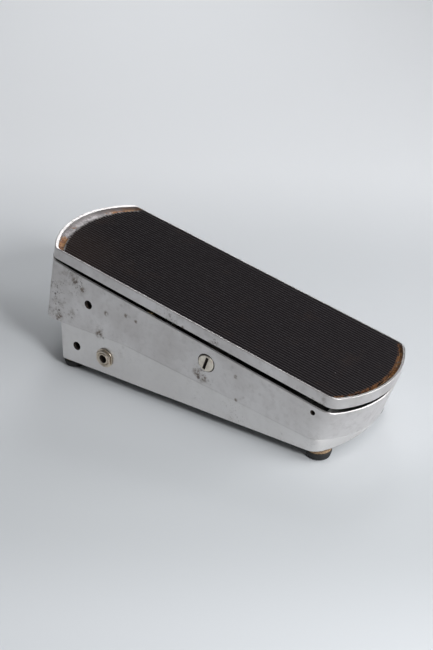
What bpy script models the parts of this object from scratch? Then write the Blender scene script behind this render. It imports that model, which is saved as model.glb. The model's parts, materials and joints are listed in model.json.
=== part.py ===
"""Foot-operated volume pedal: a cast aluminium body, a rocking treadle and the mechanism between them.

Frame: origin on the floor under the middle of the pedal, +X towards the heel, +Z up, near side at -Y.
Lengths below are in millimetres and are scaled to metres when each mesh is made.
"""

import math
from collections import namedtuple

import bmesh
import bpy
from mathutils import Matrix, Vector

MM = 0.001

# Driving dimensions
HALF_WIDTH = 47.5
HALF_LENGTH = 144.9
TILT = math.radians(10.36)
RANGE = math.radians(8.5)
FOOT_HEIGHT = 8.5
WALL = 4.2
GAP = 0.3

# The hinge pin near the heel: the treadle turns on it, and the rack and quadrants are centred on it
HINGE = Vector((112.3, 0.0, 40.8))
HINGE_PIN_RADIUS = 1.6
PIN_END = 43.9

# Treadle, in its own tilted plane: u runs towards the heel and w upwards, both from the hinge pin
TREADLE_BOTTOM = 10.15
RIM_HEIGHT = 9.0
TREADLE_TOP = TREADLE_BOTTOM + RIM_HEIGHT
TRAY_FLOOR = TREADLE_TOP - 4.0
TREADLE_UNDERSIDE = TREADLE_BOTTOM + 2.0
MAT_TOP = TREADLE_TOP - 0.95
EAR_NEAR, EAR_FAR = 30.0, 36.0

# Side elevation of the body
CREASE_FLAT = 39.85
CREASE_BEND = -55.0
CREASE_SLOPE = 0.1266
TOE_WALL_END = -119.5
SIDE_GAP_START = -113.0
OVERHANG_CORNER = 3.6

# Holes and fittings on the side walls (x, z)
UPPER_HOLE = (-86.1, 62.9)
LOWER_HOLE = (-99.3, 23.8)
SIDE_HOLE_RADIUS = 3.1
JACK = (-71.8, 22.7)
JACK_HOLE_RADIUS = 5.1
TENSION_SCREW = (21.9, 49.3)
SCREW_SHANK = 4.0
SCREW_HEAD_RADIUS = 6.65
COUNTERBORE_RADIUS = 7.3
COUNTERBORE_FLOOR = 44.7
COUNTERBORE_SHIFT = 0.25
PAD_FACE = 42.4
SLOT_LEAN = math.radians(20.0)
SLOT_WIDTH, SLOT_DEPTH = 1.7, 1.7

# Feet
FEET = [(x, y) for x in (-111.0, 111.3) for y in (-35.7, 35.7)]
FOOT_RADIUS = 9.4
BOSS_RADIUS = 4.5
FOOT_SCREW_RADIUS = 1.8

# Rack and pinion
MODULE = 1.0
RACK_TEETH = 336
PINION_TEETH = 12
PRESSURE_ANGLE = math.radians(20.0)
ADDENDUM, DEDENDUM, THINNING = 0.9, 1.25, 0.12
RACK_RADIUS = MODULE * RACK_TEETH / 2
PINION_RADIUS = MODULE * PINION_TEETH / 2
RACK_BACK = RACK_RADIUS - 7.8
PINION = HINGE - Vector((RACK_RADIUS + PINION_RADIUS, 0.0, 0.0))
ROLLER_RADIUS = 4.0
ROLLER = HINGE - Vector((RACK_BACK - GAP - ROLLER_RADIUS, 0.0, 0.0))

# Potentiometer and its bracket
BRACKET_FACE, BRACKET_BACK = 9.0, 11.0
POT_RADIUS = 12.0
SHAFT_RADIUS = 3.1

ARC_STEPS, CORNER_STEPS = 8, 4
STATIONS = (-100.0, CREASE_BEND, 0.0, 50.0, 90.0)

Outline = namedtuple("Outline", "half_width toe toe_radius toe_corner heel heel_radius heel_corner")

BODY_TOP = Outline(HALF_WIDTH, -135.9, 73.0, 4.5, 141.3, 78.0, 13.0)
BODY_SHOULDER = Outline(46.96, -144.5, 73.0, 4.5, 133.8, 66.0, 13.0)
BODY_WAIST = Outline(46.72, -HALF_LENGTH, 73.0, 4.5, 132.3, 63.9, 13.0)
BAND_TOP = Outline(46.95, -131.5, 73.0, 3.5, 132.6, 64.0, 13.0)
BAND_BOTTOM = Outline(47.6, -131.5, 73.0, 3.5, 128.3, 92.0, 12.0)
RIM = Outline(HALF_WIDTH, -253.5, 72.3, 6.0, 29.8, 76.6, 11.0)
TRAY = Outline(46.5, -250.6, 70.0, 4.5, 28.1, 75.0, 9.0)
SKIRT = Outline(43.9, -249.9, 68.7, 4.0, 26.2, 73.0, 8.0)
MAT = Outline(46.1, -243.8, 77.6, 0.8, 24.5, 79.7, 1.2)
COVER = Outline(42.9, -126.8, 68.4, 2.0, 123.6, 87.4, 8.0)


# ---- outlines and lofts -------------------------------------------------------------------------


def inset(outline, by):
    """The same outline moved inwards by a distance."""
    return Outline(
        outline.half_width - by,
        outline.toe + by,
        outline.toe_radius - by,
        max(outline.toe_corner - by, 0.6),
        outline.heel - by,
        outline.heel_radius - by,
        max(outline.heel_corner - by, 0.6),
    )


def end_points(apex, radius, corner, half_width, outward):
    """The near half of one rounded end, from its apex on the centre line to the straight side."""
    centre = apex - outward * radius
    rise = half_width - corner
    run = math.sqrt((radius - corner) ** 2 - rise**2)
    turn = math.atan2(rise, run)
    points = []
    for step in range(ARC_STEPS + 1):
        a = turn * step / ARC_STEPS
        points.append((centre + outward * radius * math.cos(a), -radius * math.sin(a)))
    for step in range(1, CORNER_STEPS + 1):
        a = turn + (math.pi / 2 - turn) * step / CORNER_STEPS
        x = centre + outward * (run + corner * math.cos(a))
        points.append((x, -rise - corner * math.sin(a)))
    return points


def plan_loop(outline, stations=()):
    """The closed outline seen from above, with extra points where the sides pass the given stations."""
    o = outline
    toe = end_points(o.toe, o.toe_radius, o.toe_corner, o.half_width, -1)
    heel = end_points(o.heel, o.heel_radius, o.heel_corner, o.half_width, 1)
    near = toe + [(x, -o.half_width) for x in stations] + heel[::-1]
    return near + [(x, -y) for x, y in near[-2:0:-1]]


def level(outline, height):
    """One ring of the body: its plan outline, at heights that a function of x gives."""
    return [(x, y, height(x)) for x, y in plan_loop(outline, STATIONS)]


def tilted(u, v, w):
    """A point of the treadle's own plane, in the pedal's frame."""
    x = HINGE.x + u * math.cos(TILT) + w * math.sin(TILT)
    return (x, v, HINGE.z - u * math.sin(TILT) + w * math.cos(TILT))


def tilted_level(outline, w):
    return [tilted(u, v, w) for u, v in plan_loop(outline)]


def loft(rings, ring_closed):
    """A solid of faces between successive rings; the last ring meets the first, or both ends are capped."""
    bm = bmesh.new()
    rows = [[bm.verts.new(point) for point in ring] for ring in rings]
    pairs = list(zip(rows, rows[1:]))
    if ring_closed:
        pairs.append((rows[-1], rows[0]))
    else:
        bm.faces.new(rows[0])
        bm.faces.new(rows[-1])
    for low, high in pairs:
        for i in range(len(low)):
            j = (i + 1) % len(low)
            bm.faces.new((low[i], low[j], high[j], high[i]))
    bmesh.ops.remove_doubles(bm, verts=bm.verts, dist=0.001)
    bmesh.ops.recalc_face_normals(bm, faces=bm.faces)
    return bm


def turned(profile, steps=24):
    """A solid turned about Z from (radius, height) points; a profile off the axis leaves a bore."""
    bm = bmesh.new()
    rings = []
    for radius, height in profile:
        count = steps if radius > 0 else 1
        angles = [math.tau * (i + 0.5) / steps for i in range(count)]
        rings.append([bm.verts.new((radius * math.cos(a), radius * math.sin(a), height)) for a in angles])
    pairs = list(zip(rings, rings[1:]))
    if profile[0][0] > 0:
        pairs.append((rings[-1], rings[0]))
    for low, high in pairs:
        for i in range(steps):
            j = (i + 1) % steps
            corners = (low[i % len(low)], low[j % len(low)], high[j % len(high)], high[i % len(high)])
            bm.faces.new(list(dict.fromkeys(corners)))
    bmesh.ops.recalc_face_normals(bm, faces=bm.faces)
    return bm


def hexagon_ring(corner, height, steps=24):
    """Points round a hexagon with two corners on Y, spaced like those round a circle."""
    points = []
    for i in range(steps):
        a = math.tau * i / steps
        from_flat = (a + math.pi / 6) % (math.pi / 3) - math.pi / 6
        radius = corner * math.cos(math.pi / 6) / math.cos(from_flat)
        points.append((radius * math.cos(a), radius * math.sin(a), height))
    return points


def circle_ring(radius, height, steps=24):
    angles = [math.tau * i / steps for i in range(steps)]
    return [(radius * math.cos(a), radius * math.sin(a), height) for a in angles]


def hexagon_nut(bore, corner, low, high, chamfer=0.0):
    """A hexagon nut along Z, its upper face dressed down to a smaller circle by the chamfer."""
    rings = [circle_ring(bore, low), hexagon_ring(corner, low), hexagon_ring(corner, high - chamfer)]
    if chamfer:
        rings.append(circle_ring(corner * math.cos(math.pi / 6) - 0.1, high))
    rings.append(circle_ring(bore, high))
    return loft(rings, ring_closed=True)


def prism(low_points, high_points):
    """A solid between two matching polygons."""
    return loft([low_points, high_points], ring_closed=False)


def prism_y(points, low, high):
    """An (x, z) polygon made solid between two values of y."""
    return prism([(x, low, z) for x, z in points], [(x, high, z) for x, z in points])


def prism_z(points, low, high):
    """An (x, y) polygon made solid between two heights."""
    return prism([(x, y, low) for x, y in points], [(x, y, high) for x, y in points])


def block(low, high):
    """A rectangular solid between two corners."""
    corners = [(low[0], low[1]), (high[0], low[1]), (high[0], high[1]), (low[0], high[1])]
    return prism_z(corners, low[2], high[2])


def arc(centre, radius, start, end, steps):
    """Points along an arc of a circle, the angles in degrees."""
    angles = [math.radians(start + (end - start) * i / steps) for i in range(steps + 1)]
    return [(centre[0] + radius * math.cos(a), centre[1] + radius * math.sin(a)) for a in angles]


def moved(bm, x, y, z):
    bmesh.ops.translate(bm, vec=(x, y, z), verts=bm.verts)
    return bm


def across(bm, x, z, side):
    """Lays a turned solid across the pedal: its height becomes the distance out from the centre plane."""
    turn = Matrix.Rotation(-side * math.pi / 2, 4, "X")
    bmesh.ops.transform(bm, matrix=Matrix.Translation((x, 0, z)) @ turn, verts=bm.verts)
    return bm


def together(*solids):
    """Several solids in one mesh."""
    whole = bmesh.new()
    for bm in solids:
        mesh = bpy.data.meshes.new("solid")
        bm.to_mesh(mesh)
        whole.from_mesh(mesh)
        bpy.data.meshes.remove(mesh)
    return whole


# ---- objects ------------------------------------------------------------------------------------


def clear_scene():
    for obj in list(bpy.data.objects):
        bpy.data.objects.remove(obj, do_unlink=True)


def material(name, colour, roughness, metallic=0.0):
    made = bpy.data.materials.new(name)
    made.use_nodes = True
    shader = made.node_tree.nodes["Principled BSDF"]
    shader.inputs["Base Color"].default_value = (*colour, 1.0)
    shader.inputs["Roughness"].default_value = roughness
    shader.inputs["Metallic"].default_value = metallic
    return made


def axis_empty(name, centre):
    """An empty on a joint's axis: the pieces that turn with it are its children."""
    empty = bpy.data.objects.new(name, None)
    empty.location = centre * MM
    bpy.context.collection.objects.link(empty)
    return empty


def add_object(name, bm, surface, axis=None):
    """Makes an object from a mesh drawn in the pedal's frame, its origin on the given axis if it has one."""
    centre = axis.location.copy() if axis else Vector()
    bmesh.ops.scale(bm, vec=(MM, MM, MM), verts=bm.verts)
    bmesh.ops.translate(bm, vec=-centre, verts=bm.verts)
    mesh = bpy.data.meshes.new(name)
    bm.to_mesh(mesh)
    bm.free()
    mesh.materials.append(surface)
    mesh.shade_smooth()
    mesh.set_sharp_from_angle(angle=math.radians(32))
    obj = bpy.data.objects.new(name, mesh)
    obj.parent = axis
    bpy.context.collection.objects.link(obj)
    return obj


def combine(obj, bm, operation):
    """Joins or cuts an object with another solid, kept hidden beside it."""
    tool = add_object(f"{obj.name}_{operation.lower()}", bm, obj.data.materials[0], obj.parent)
    tool.hide_render = True
    tool.display_type = "WIRE"
    modifier = obj.modifiers.new(operation.title(), "BOOLEAN")
    modifier.operation = operation
    modifier.solver = "EXACT"
    modifier.object = tool


def cross_hole(x, z, radius, reach=HALF_WIDTH + 5, steps=24):
    """A cylinder right across the pedal."""
    return across(turned([(0, -reach), (radius, -reach), (radius, reach), (0, reach)], steps), x, z, 1)


# ---- body ---------------------------------------------------------------------------------------


def treadle_plane(x):
    """Height of the treadle's lower edge at rest."""
    return HINGE.z + TREADLE_BOTTOM / math.cos(TILT) - math.tan(TILT) * (x - HINGE.x)


def body_rim(x):
    """Height of the body's top edge: close under the treadle round the toe, lower along the sides."""
    side = min(1.0, max(0.0, (x - TOE_WALL_END) / (SIDE_GAP_START - TOE_WALL_END)))
    return treadle_plane(x) - (1 - side) * GAP - side * (3.25 + 0.0085 * x)


def crease(x):
    """Height of the crease along the side: level at the toe, then falling to the heel."""
    return CREASE_FLAT - CREASE_SLOPE * max(0.0, x - CREASE_BEND)


def raised(height, by):
    return lambda x: height(x) + by


def underside(_x):
    return FOOT_HEIGHT


def toe_moved(outline, by):
    return outline._replace(toe=outline.toe + by)


def foot_boss(x, y, base, height):
    """A boss for a foot screw, run out into the side wall."""
    side, end, r = math.copysign(1, y), math.copysign(1, x), BOSS_RADIUS
    round_end = arc((x, y), r, 0, -180 * side, 8)
    in_wall = ((-r, 43.8), (0.3 * r, 43.8), (r, 41.0))
    wall_end = sorted((x + end * along, side * out) for along, out in in_wall)
    return prism_z(round_end + wall_end, base, height)


def body_casting(surface):
    r = OVERHANG_CORNER
    rings = [
        level(inset(BODY_TOP, 1.3), body_rim),
        level(inset(BODY_TOP, 0.4), raised(body_rim, -0.35)),
        level(BODY_TOP, raised(body_rim, -1.3)),
        level(BODY_SHOULDER, raised(crease, r)),
        level(toe_moved(BODY_WAIST, 0.3 * r), raised(crease, 0.3 * r)),
        level(toe_moved(BODY_WAIST, r), crease),
        level(BAND_TOP, crease),
        level(BAND_BOTTOM, raised(underside, 1.2)),
        level(inset(BAND_BOTTOM, 0.35), raised(underside, 0.35)),
        level(inset(BAND_BOTTOM, 1.2), underside),
        level(inset(BAND_BOTTOM, WALL), underside),
        level(inset(BAND_TOP, WALL), raised(crease, WALL)),
        level(inset(BODY_WAIST, WALL), raised(crease, WALL)),
        level(inset(BODY_TOP, WALL), raised(body_rim, -0.6)),
        level(inset(BODY_TOP, WALL - 0.6), body_rim),
    ]
    body = add_object("body_casting", loft(rings, ring_closed=True), surface)
    bosses = [foot_boss(x, y, FOOT_HEIGHT + 1.6, FOOT_HEIGHT + 12) for x, y in FEET]
    for side in (-1, 1):
        hinge_boss = turned([(0, 38.6), (5.5, 38.6), (5.5, 44.0), (0, 44.0)], 20)
        bosses.append(across(hinge_boss, HINGE.x, HINGE.z, side))
        pad = turned([(0, PAD_FACE), (9.6, PAD_FACE), (9.6, 44.2), (0, 44.2)], 28)
        bosses.append(across(pad, *TENSION_SCREW, side))
    combine(body, together(*bosses), "UNION")
    cuts = [
        cross_hole(*UPPER_HOLE, SIDE_HOLE_RADIUS),
        cross_hole(*LOWER_HOLE, SIDE_HOLE_RADIUS),
        cross_hole(*JACK, JACK_HOLE_RADIUS),
        cross_hole(HINGE.x, HINGE.z, HINGE_PIN_RADIUS + 0.15, steps=16),
    ]
    cuts += [tension_bore(side) for side in (-1, 1)]
    for x, y in FEET:
        hole = turned([(0, 0), (2.1, 0), (2.1, FOOT_HEIGHT + 10), (0, FOOT_HEIGHT + 10)], 12)
        cuts.append(moved(hole, x, y, 0))
    combine(body, together(*cuts), "DIFFERENCE")


def tension_bore(side):
    """The counterbore for a tension screw's head and the hole for its shank, a little off centre."""
    shank, floor, out = SCREW_SHANK + 2 * GAP, COUNTERBORE_FLOOR, HALF_WIDTH + 2
    wide = COUNTERBORE_RADIUS
    bore = turned([(0, 38.0), (shank, 38.0), (shank, floor), (wide, floor), (wide, out), (0, out)], 32)
    x, z = TENSION_SCREW
    return across(bore, x + COUNTERBORE_SHIFT, z + COUNTERBORE_SHIFT, side)


def bottom_cover(surface):
    low, high = FOOT_HEIGHT + 0.1, FOOT_HEIGHT + 1.3
    cover = add_object("bottom_cover", prism_z(plan_loop(COVER), low, high), surface)
    holes = []
    for x, y in FEET + bracket_screw_places():
        holes.append(moved(turned([(0, 0), (2.2, 0), (2.2, 20), (0, 20)], 12), x, y, 0))
    combine(cover, together(*holes), "DIFFERENCE")


def feet(rubber, fibre, steel):
    for number, (x, y) in enumerate(FEET, 1):
        r = FOOT_RADIUS
        profile = [(4.2, 0), (r - 1.6, 0), (r - 0.7, 0.7), (r, 5.2), (r - 0.6, 6.0), (2.1, 6.0)]
        profile += [(2.1, 3.6), (4.2, 3.6)]
        add_object(f"foot_{number}", moved(turned(profile), x, y, 0), rubber)
        ring = [(2.3, 6.3), (9.0, 6.3), (9.0, 8.2), (2.3, 8.2)]
        add_object(f"foot_washer_{number}", moved(turned(ring), x, y, 0), fibre)
        shank = FOOT_SCREW_RADIUS
        screw = [(0, 1.2), (2.8, 1.2), (3.6, 2.0), (3.6, 3.3), (shank, 3.3), (shank, 17), (0, 17)]
        add_object(f"foot_screw_{number}", moved(turned(screw, 12), x, y, 0), steel)


# ---- treadle ------------------------------------------------------------------------------------


def ear_profile():
    """A hinge ear seen from the side: a round end about the pin, widening up into the underside."""
    top = TREADLE_UNDERSIDE + 0.8
    return [(-10.5, top)] + arc((0, 0), 5.4, 190, 350, 8) + [(10.5, top)]


def treadle_casting(surface, axis):
    top, low = TREADLE_TOP, TREADLE_BOTTOM
    rings = [
        tilted_level(TRAY, TRAY_FLOOR),
        tilted_level(TRAY, top - 0.3),
        tilted_level(inset(TRAY, -0.2), top),
        tilted_level(inset(RIM, 0.55), top),
        tilted_level(inset(RIM, 0.15), top - 0.3),
        tilted_level(RIM, top - 0.8),
        tilted_level(RIM, low + 0.5),
        tilted_level(inset(RIM, 0.5), low),
        tilted_level(SKIRT, low),
        tilted_level(SKIRT, TREADLE_UNDERSIDE),
    ]
    treadle = add_object("treadle", loft(rings, ring_closed=False), surface, axis)
    ears, holes = [], [cross_hole(HINGE.x, HINGE.z, HINGE_PIN_RADIUS + 0.2, 40, 16)]
    for side in (-1, 1):
        near = [tilted(u, side * EAR_NEAR, w) for u, w in ear_profile()]
        far = [tilted(u, side * EAR_FAR, w) for u, w in ear_profile()]
        ears.append(prism(near, far))
    combine(treadle, together(*ears), "UNION")
    combine(treadle, together(*holes), "DIFFERENCE")


def mat(surface, axis):
    rings = [tilted_level(MAT, TRAY_FLOOR + GAP), tilted_level(MAT, MAT_TOP)]
    add_object("mat", loft(rings, ring_closed=False), surface, axis)


def hinge_pin(surface):
    r = HINGE_PIN_RADIUS
    profile = [(0, -PIN_END), (r - 0.3, -PIN_END), (r, 0.3 - PIN_END), (r, PIN_END - 0.3), (r - 0.3, PIN_END)]
    add_object("hinge_pin", across(turned(profile + [(0, PIN_END)], 16), HINGE.x, HINGE.z, 1), surface)


# ---- tension screws, quadrants and their clamps -------------------------------------------------


def ring_across(inner, outer, low, high, side, steps=24):
    profile = [(inner, low), (outer, low), (outer, high), (inner, high)]
    return across(turned(profile, steps), *TENSION_SCREW, side)


def tension_screw(name, side, surface):
    """A slotted screw, its head in the body's counterbore and its shank through the quadrant."""
    r, face = SCREW_HEAD_RADIUS, HALF_WIDTH + 0.2
    profile = [(0, 33.0), (SCREW_SHANK, 33.0), (SCREW_SHANK, 45.0), (r, 45.0), (r, face - 0.5)]
    profile += [(r - 0.5, face), (0, face)]
    screw = add_object(name, across(turned(profile, 28), *TENSION_SCREW, side), surface)
    floor, out = sorted((side * (face - SLOT_DEPTH), side * (face + 5)))
    slot = block((-SLOT_WIDTH / 2, floor, -9), (SLOT_WIDTH / 2, out, 9))
    lean = Matrix.Rotation(SLOT_LEAN, 4, "Y")
    place = Matrix.Translation((TENSION_SCREW[0], 0, TENSION_SCREW[1]))
    bmesh.ops.transform(slot, matrix=place @ lean, verts=slot.verts)
    combine(screw, slot, "DIFFERENCE")


def polar_from_hinge(radius, angle):
    """A point at a distance from the hinge pin, its angle measured up from the toe direction."""
    return (HINGE.x - radius * math.cos(angle), HINGE.z + radius * math.sin(angle))


def screw_polar():
    dx, dz = HINGE.x - TENSION_SCREW[0], TENSION_SCREW[1] - HINGE.z
    return math.hypot(dx, dz), math.atan2(dz, dx)


def quadrant_slot(half_width):
    """The curved slot that the tension screw passes through, centred on the hinge pin."""
    radius, top = screw_polar()
    bottom = top - RANGE
    upper, lower = polar_from_hinge(radius, top), polar_from_hinge(radius, bottom)
    steps = 6
    angles = [bottom + RANGE * i / steps for i in range(steps + 1)]
    toe_side = [polar_from_hinge(radius + half_width, a) for a in angles[1:-1]]
    heel_side = [polar_from_hinge(radius - half_width, a) for a in reversed(angles[1:-1])]
    top_turn, low_turn = 180 - math.degrees(top), -math.degrees(bottom)
    return toe_side + arc(upper, half_width, top_turn, top_turn - 180, 8) + heel_side + arc(
        lower, half_width, low_turn, low_turn - 180, 8
    )


def quadrant(name, side, surface, axis):
    """A slotted plate under the treadle; its bent-over top is screwed to the treadle's underside."""
    top = TREADLE_UNDERSIDE - GAP
    plate_low, plate_high = 38.8, 40.8
    corner = 7.0
    shape = [(-77.0, top), (-103.0, top)]
    shape += arc((-103.0 + corner, -32.0 + corner), corner, 180, 270, 4)
    shape += arc((-77.0 - corner, -32.0 + corner), corner, 270, 360, 4)
    plate = prism(
        [tilted(u, side * plate_low, w) for u, w in shape],
        [tilted(u, side * plate_high, w) for u, w in shape],
    )
    flange_shape = [(-103.0, top - 2), (-77.0, top - 2), (-77.0, top), (-103.0, top)]
    flange = prism(
        [tilted(u, side * 26.0, w) for u, w in flange_shape],
        [tilted(u, side * 39.5, w) for u, w in flange_shape],
    )
    made = add_object(name, plate, surface, axis)
    combine(made, flange, "UNION")
    slot = prism_y(quadrant_slot(SCREW_SHANK + 0.4), min(side * 36, side * 43), max(side * 36, side * 43))
    combine(made, slot, "DIFFERENCE")


def treadle_screw(u, v, steel_top):
    """A pan-head screw up into the treadle's underside, through a flange of the given lower face."""
    profile = [(0, steel_top - 2.2), (2.2, steel_top - 2.2), (3.0, steel_top - 1.4), (3.0, steel_top - GAP)]
    profile += [(0, steel_top - GAP)]
    screw = turned(profile, 12)
    bmesh.ops.transform(screw, matrix=Matrix.Rotation(TILT, 4, "Y"), verts=screw.verts)
    x, y, z = tilted(u, v, 0)
    return moved(screw, x, y, z)


def tension_parts(steel, fibre, axis):
    for word, side in (("near", -1), ("far", 1)):
        tension_screw(f"tension_screw_{word}", side, steel)
        hole = SCREW_SHANK + GAP
        add_object(f"friction_washer_{word}", ring_across(hole, 9.0, 41.1, 42.1, side), fibre)
        quadrant(f"quadrant_{word}", side, steel, axis)
        add_object(f"clamp_washer_{word}", ring_across(hole, 8.0, 37.5, 38.5, side), steel)
        nut = across(hexagon_nut(hole, 8.4, 33.4, 37.2), *TENSION_SCREW, side)
        add_object(f"clamp_nut_{word}", nut, steel)
        for number, u in enumerate((-98.0, -82.0), 1):
            screw = treadle_screw(u, side * 31.5, TREADLE_UNDERSIDE - GAP - 2)
            add_object(f"quadrant_screw_{word}_{number}", screw, steel, axis)


# ---- rack, pinion and potentiometer -------------------------------------------------------------


def involute(angle):
    return math.tan(angle) - angle


def tooth_flank(teeth, steps):
    """(radius, half angle) points up one flank of an involute tooth."""
    pitch = MODULE * teeth / 2
    base = pitch * math.cos(PRESSURE_ANGLE)
    root, tip = pitch - DEDENDUM, pitch + ADDENDUM
    start = max(base, root)
    flank = []
    for i in range(steps + 1):
        radius = start + (tip - start) * i / steps
        half = math.pi / (2 * teeth) + involute(PRESSURE_ANGLE) - involute(math.acos(base / radius))
        flank.append((radius, half - THINNING / pitch))
    if root < base:
        flank.insert(0, (root, flank[0][1]))
    return flank


def toothed(teeth, steps, centres):
    """(radius, angle) points over the teeth at the given angles."""
    flank = tooth_flank(teeth, steps)
    points = []
    for centre in centres:
        points += [(radius, centre - half) for radius, half in flank]
        points += [(radius, centre + half) for radius, half in reversed(flank)]
    return points


def rack(surface, axis):
    """A curved rack centred on the hinge pin, hanging from a pad under the treadle."""
    pitch_angle = math.tau / RACK_TEETH
    below, above = -10, 2
    edge = RACK_RADIUS - DEDENDUM
    teeth = toothed(RACK_TEETH, 2, [(k + 0.5) * pitch_angle for k in range(below, above)])
    low, high = below * pitch_angle, above * pitch_angle
    top = math.radians(14.2)
    stem = [high + (top - high) * i / 4 for i in range(5)]
    back = [low + (top - low) * i / 12 for i in range(13)]
    outline = [(edge, low)] + teeth + [(edge, a) for a in stem] + [(RACK_BACK, a) for a in reversed(back)]
    bar = prism_y([polar_from_hinge(radius, a) for radius, a in outline], -3.0, 3.0)
    made = add_object("rack", bar, surface, axis)
    under = TREADLE_UNDERSIDE - GAP
    pad_u = (-171.5, -149.5)
    pad_shape = [(pad_u[0], under - 2.6), (pad_u[1], under - 2.6), (pad_u[1], under), (pad_u[0], under)]
    pad = prism([tilted(u, -11.0, w) for u, w in pad_shape], [tilted(u, 11.0, w) for u, w in pad_shape])
    combine(made, pad, "UNION")
    for word, v in (("near", -7.4), ("far", 7.4)):
        add_object(f"rack_screw_{word}", treadle_screw(-160.5, v, under - 2.6), surface, axis)


def pinion(surface, axis):
    centres = [math.tau * k / PINION_TEETH for k in range(PINION_TEETH)]
    polar = toothed(PINION_TEETH, 3, centres)
    points = [(PINION.x + r * math.cos(a), PINION.z + r * math.sin(a)) for r, a in polar]
    gear = add_object("pinion", prism_y(points, -4.0, 4.0), surface, axis)
    hub = across(turned([(0, 3.0), (5.2, 3.0), (5.2, 9.0), (0, 9.0)], 20), PINION.x, PINION.z, -1)
    combine(gear, hub, "UNION")
    combine(gear, cross_hole(PINION.x, PINION.z, SHAFT_RADIUS + 0.2, 20, 20), "DIFFERENCE")


def pot_shaft(surface, axis):
    r = SHAFT_RADIUS
    profile = [(0, -10.5), (r - 0.4, -10.5), (r, -10.1), (r, 16.5), (0, 16.5)]
    add_object("pot_shaft", across(turned(profile, 20), PINION.x, PINION.z, 1), surface, axis)


def potentiometer(steel, brass, brown):
    back, front, nose, bore = 23.0, BRACKET_BACK + GAP, 5.0, SHAFT_RADIUS + 0.2
    case = [(0, back), (POT_RADIUS - 0.8, back), (POT_RADIUS, back - 0.8), (POT_RADIUS, front), (4.6, front)]
    case += [(4.6, nose), (bore, nose), (bore, 17.0), (0, 17.0)]
    add_object("pot_case", across(turned(case, 28), PINION.x, PINION.z, 1), steel)
    nut = hexagon_nut(4.9, 7.3, 6.3, BRACKET_FACE - GAP)
    add_object("pot_nut", across(nut, PINION.x, PINION.z, 1), brass)
    low = PINION.z - POT_RADIUS
    comb = [(8.0, low - GAP), (-8.0, low - GAP)]
    for dx in (-6, 0, 6):
        comb += [(dx - 1.4, low - 2.0), (dx - 1.4, low - 7), (dx + 1.4, low - 7), (dx + 1.4, low - 2.0)]
    add_object("pot_terminals", prism_y([(PINION.x + x, z) for x, z in comb], 13.2, 14.0), brass)
    wafer = block((PINION.x - 9, 14.3, low - 3.5), (PINION.x + 9, 16.1, low - GAP))
    add_object("pot_wafer", wafer, brown)


def bracket_screw_places():
    return [(-72.0, 17.0), (-38.5, 17.0)]


def pot_bracket(surface):
    """An angle bracket standing on the cover; it carries the potentiometer and the guide roller."""
    base = FOOT_HEIGHT + 1.3 + GAP
    left, right = -76.5, -34.0
    wall = block((left, BRACKET_FACE, base), (right, BRACKET_BACK, 54.5))
    made = add_object("pot_bracket", wall, surface)
    combine(made, block((left, BRACKET_BACK - 1, base), (right, 22.0, base + 2.0)), "UNION")
    cuts = [
        cross_hole(PINION.x, PINION.z, 4.9, 30),
        cross_hole(ROLLER.x, ROLLER.z, 1.9, 30, 12),
    ]
    for x, y in bracket_screw_places():
        cuts.append(moved(turned([(0, 0), (1.9, 0), (1.9, 20), (0, 20)], 12), x, y, 0))
    combine(made, together(*cuts), "DIFFERENCE")
    for number, (x, y) in enumerate(bracket_screw_places(), 1):
        low = FOOT_HEIGHT - 0.2
        head = [(0, low - 1.7), (2.4, low - 1.7), (3.1, low - 0.9), (3.1, low), (1.6, low)]
        screw = moved(turned(head + [(1.6, base + 4), (0, base + 4)], 12), x, y, 0)
        add_object(f"bracket_screw_{number}", screw, surface)


def guide_roller(surface, steel, axis):
    ring = [(1.9, -3.6), (ROLLER_RADIUS, -3.6), (ROLLER_RADIUS, 3.6), (1.9, 3.6)]
    add_object("guide_roller", across(turned(ring, 20), ROLLER.x, ROLLER.z, 1), surface, axis)
    screw = [(0, -6.2), (2.6, -6.2), (3.2, -5.6), (3.2, -4.0), (1.6, -4.0), (1.6, 13.0), (0, 13.0)]
    add_object("roller_screw", across(turned(screw, 16), ROLLER.x, ROLLER.z, 1), steel)


# ---- jacks and wires ----------------------------------------------------------------------------


def strip(points, thickness, half_width, x):
    """A flat spring leaf bent along (y, z) points."""
    upper = [(y, z + thickness) for y, z in reversed(points)]
    outline = list(points) + upper
    low = [(x - half_width, y, z) for y, z in outline]
    return prism(low, [(x + half_width, y, z) for y, z in outline])


def jack(word, side, nickel, brass, brown):
    x, z = JACK
    bore, thread = 3.25, 4.75
    sleeve = [(bore, 41.3), (8.0, 41.3), (8.0, 42.7), (thread, 42.7), (thread, 50.0), (bore + 0.5, 50.3)]
    body = add_object(f"jack_{word}", across(turned(sleeve + [(bore, 49.8)], 28), x, z, side), nickel)
    arm_end = [side * 27.0, side * 41.8]
    arm = block((x - 4, min(arm_end), z - 8.6), (x + 4, max(arm_end), z - 7.2))
    combine(body, arm, "UNION")
    ring = [(thread + 0.25, 47.75), (7.6, 47.75), (7.6, 48.35), (thread + 0.25, 48.35)]
    add_object(f"jack_washer_{word}", across(turned(ring), x, z, side), nickel)
    nut = hexagon_nut(thread + 0.25, 7.3, 48.6, 50.0, 0.4)
    add_object(f"jack_nut_{word}", across(nut, x, z, side), nickel)
    ends = [side * 27.5, side * 32.5]
    stack = block((x - 3.6, min(ends), z - 6.9), (x + 3.6, max(ends), z - 5.4))
    add_object(f"jack_insulator_{word}", stack, brown)
    leaf = [(side * y, z + dz) for y, dz in ((33.0, -5.1), (27.0, -5.1), (21.0, -2.6), (19.4, -4.4))]
    add_object(f"jack_contact_{word}", strip(leaf, 0.6, 2.5, x), brass)


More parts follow.
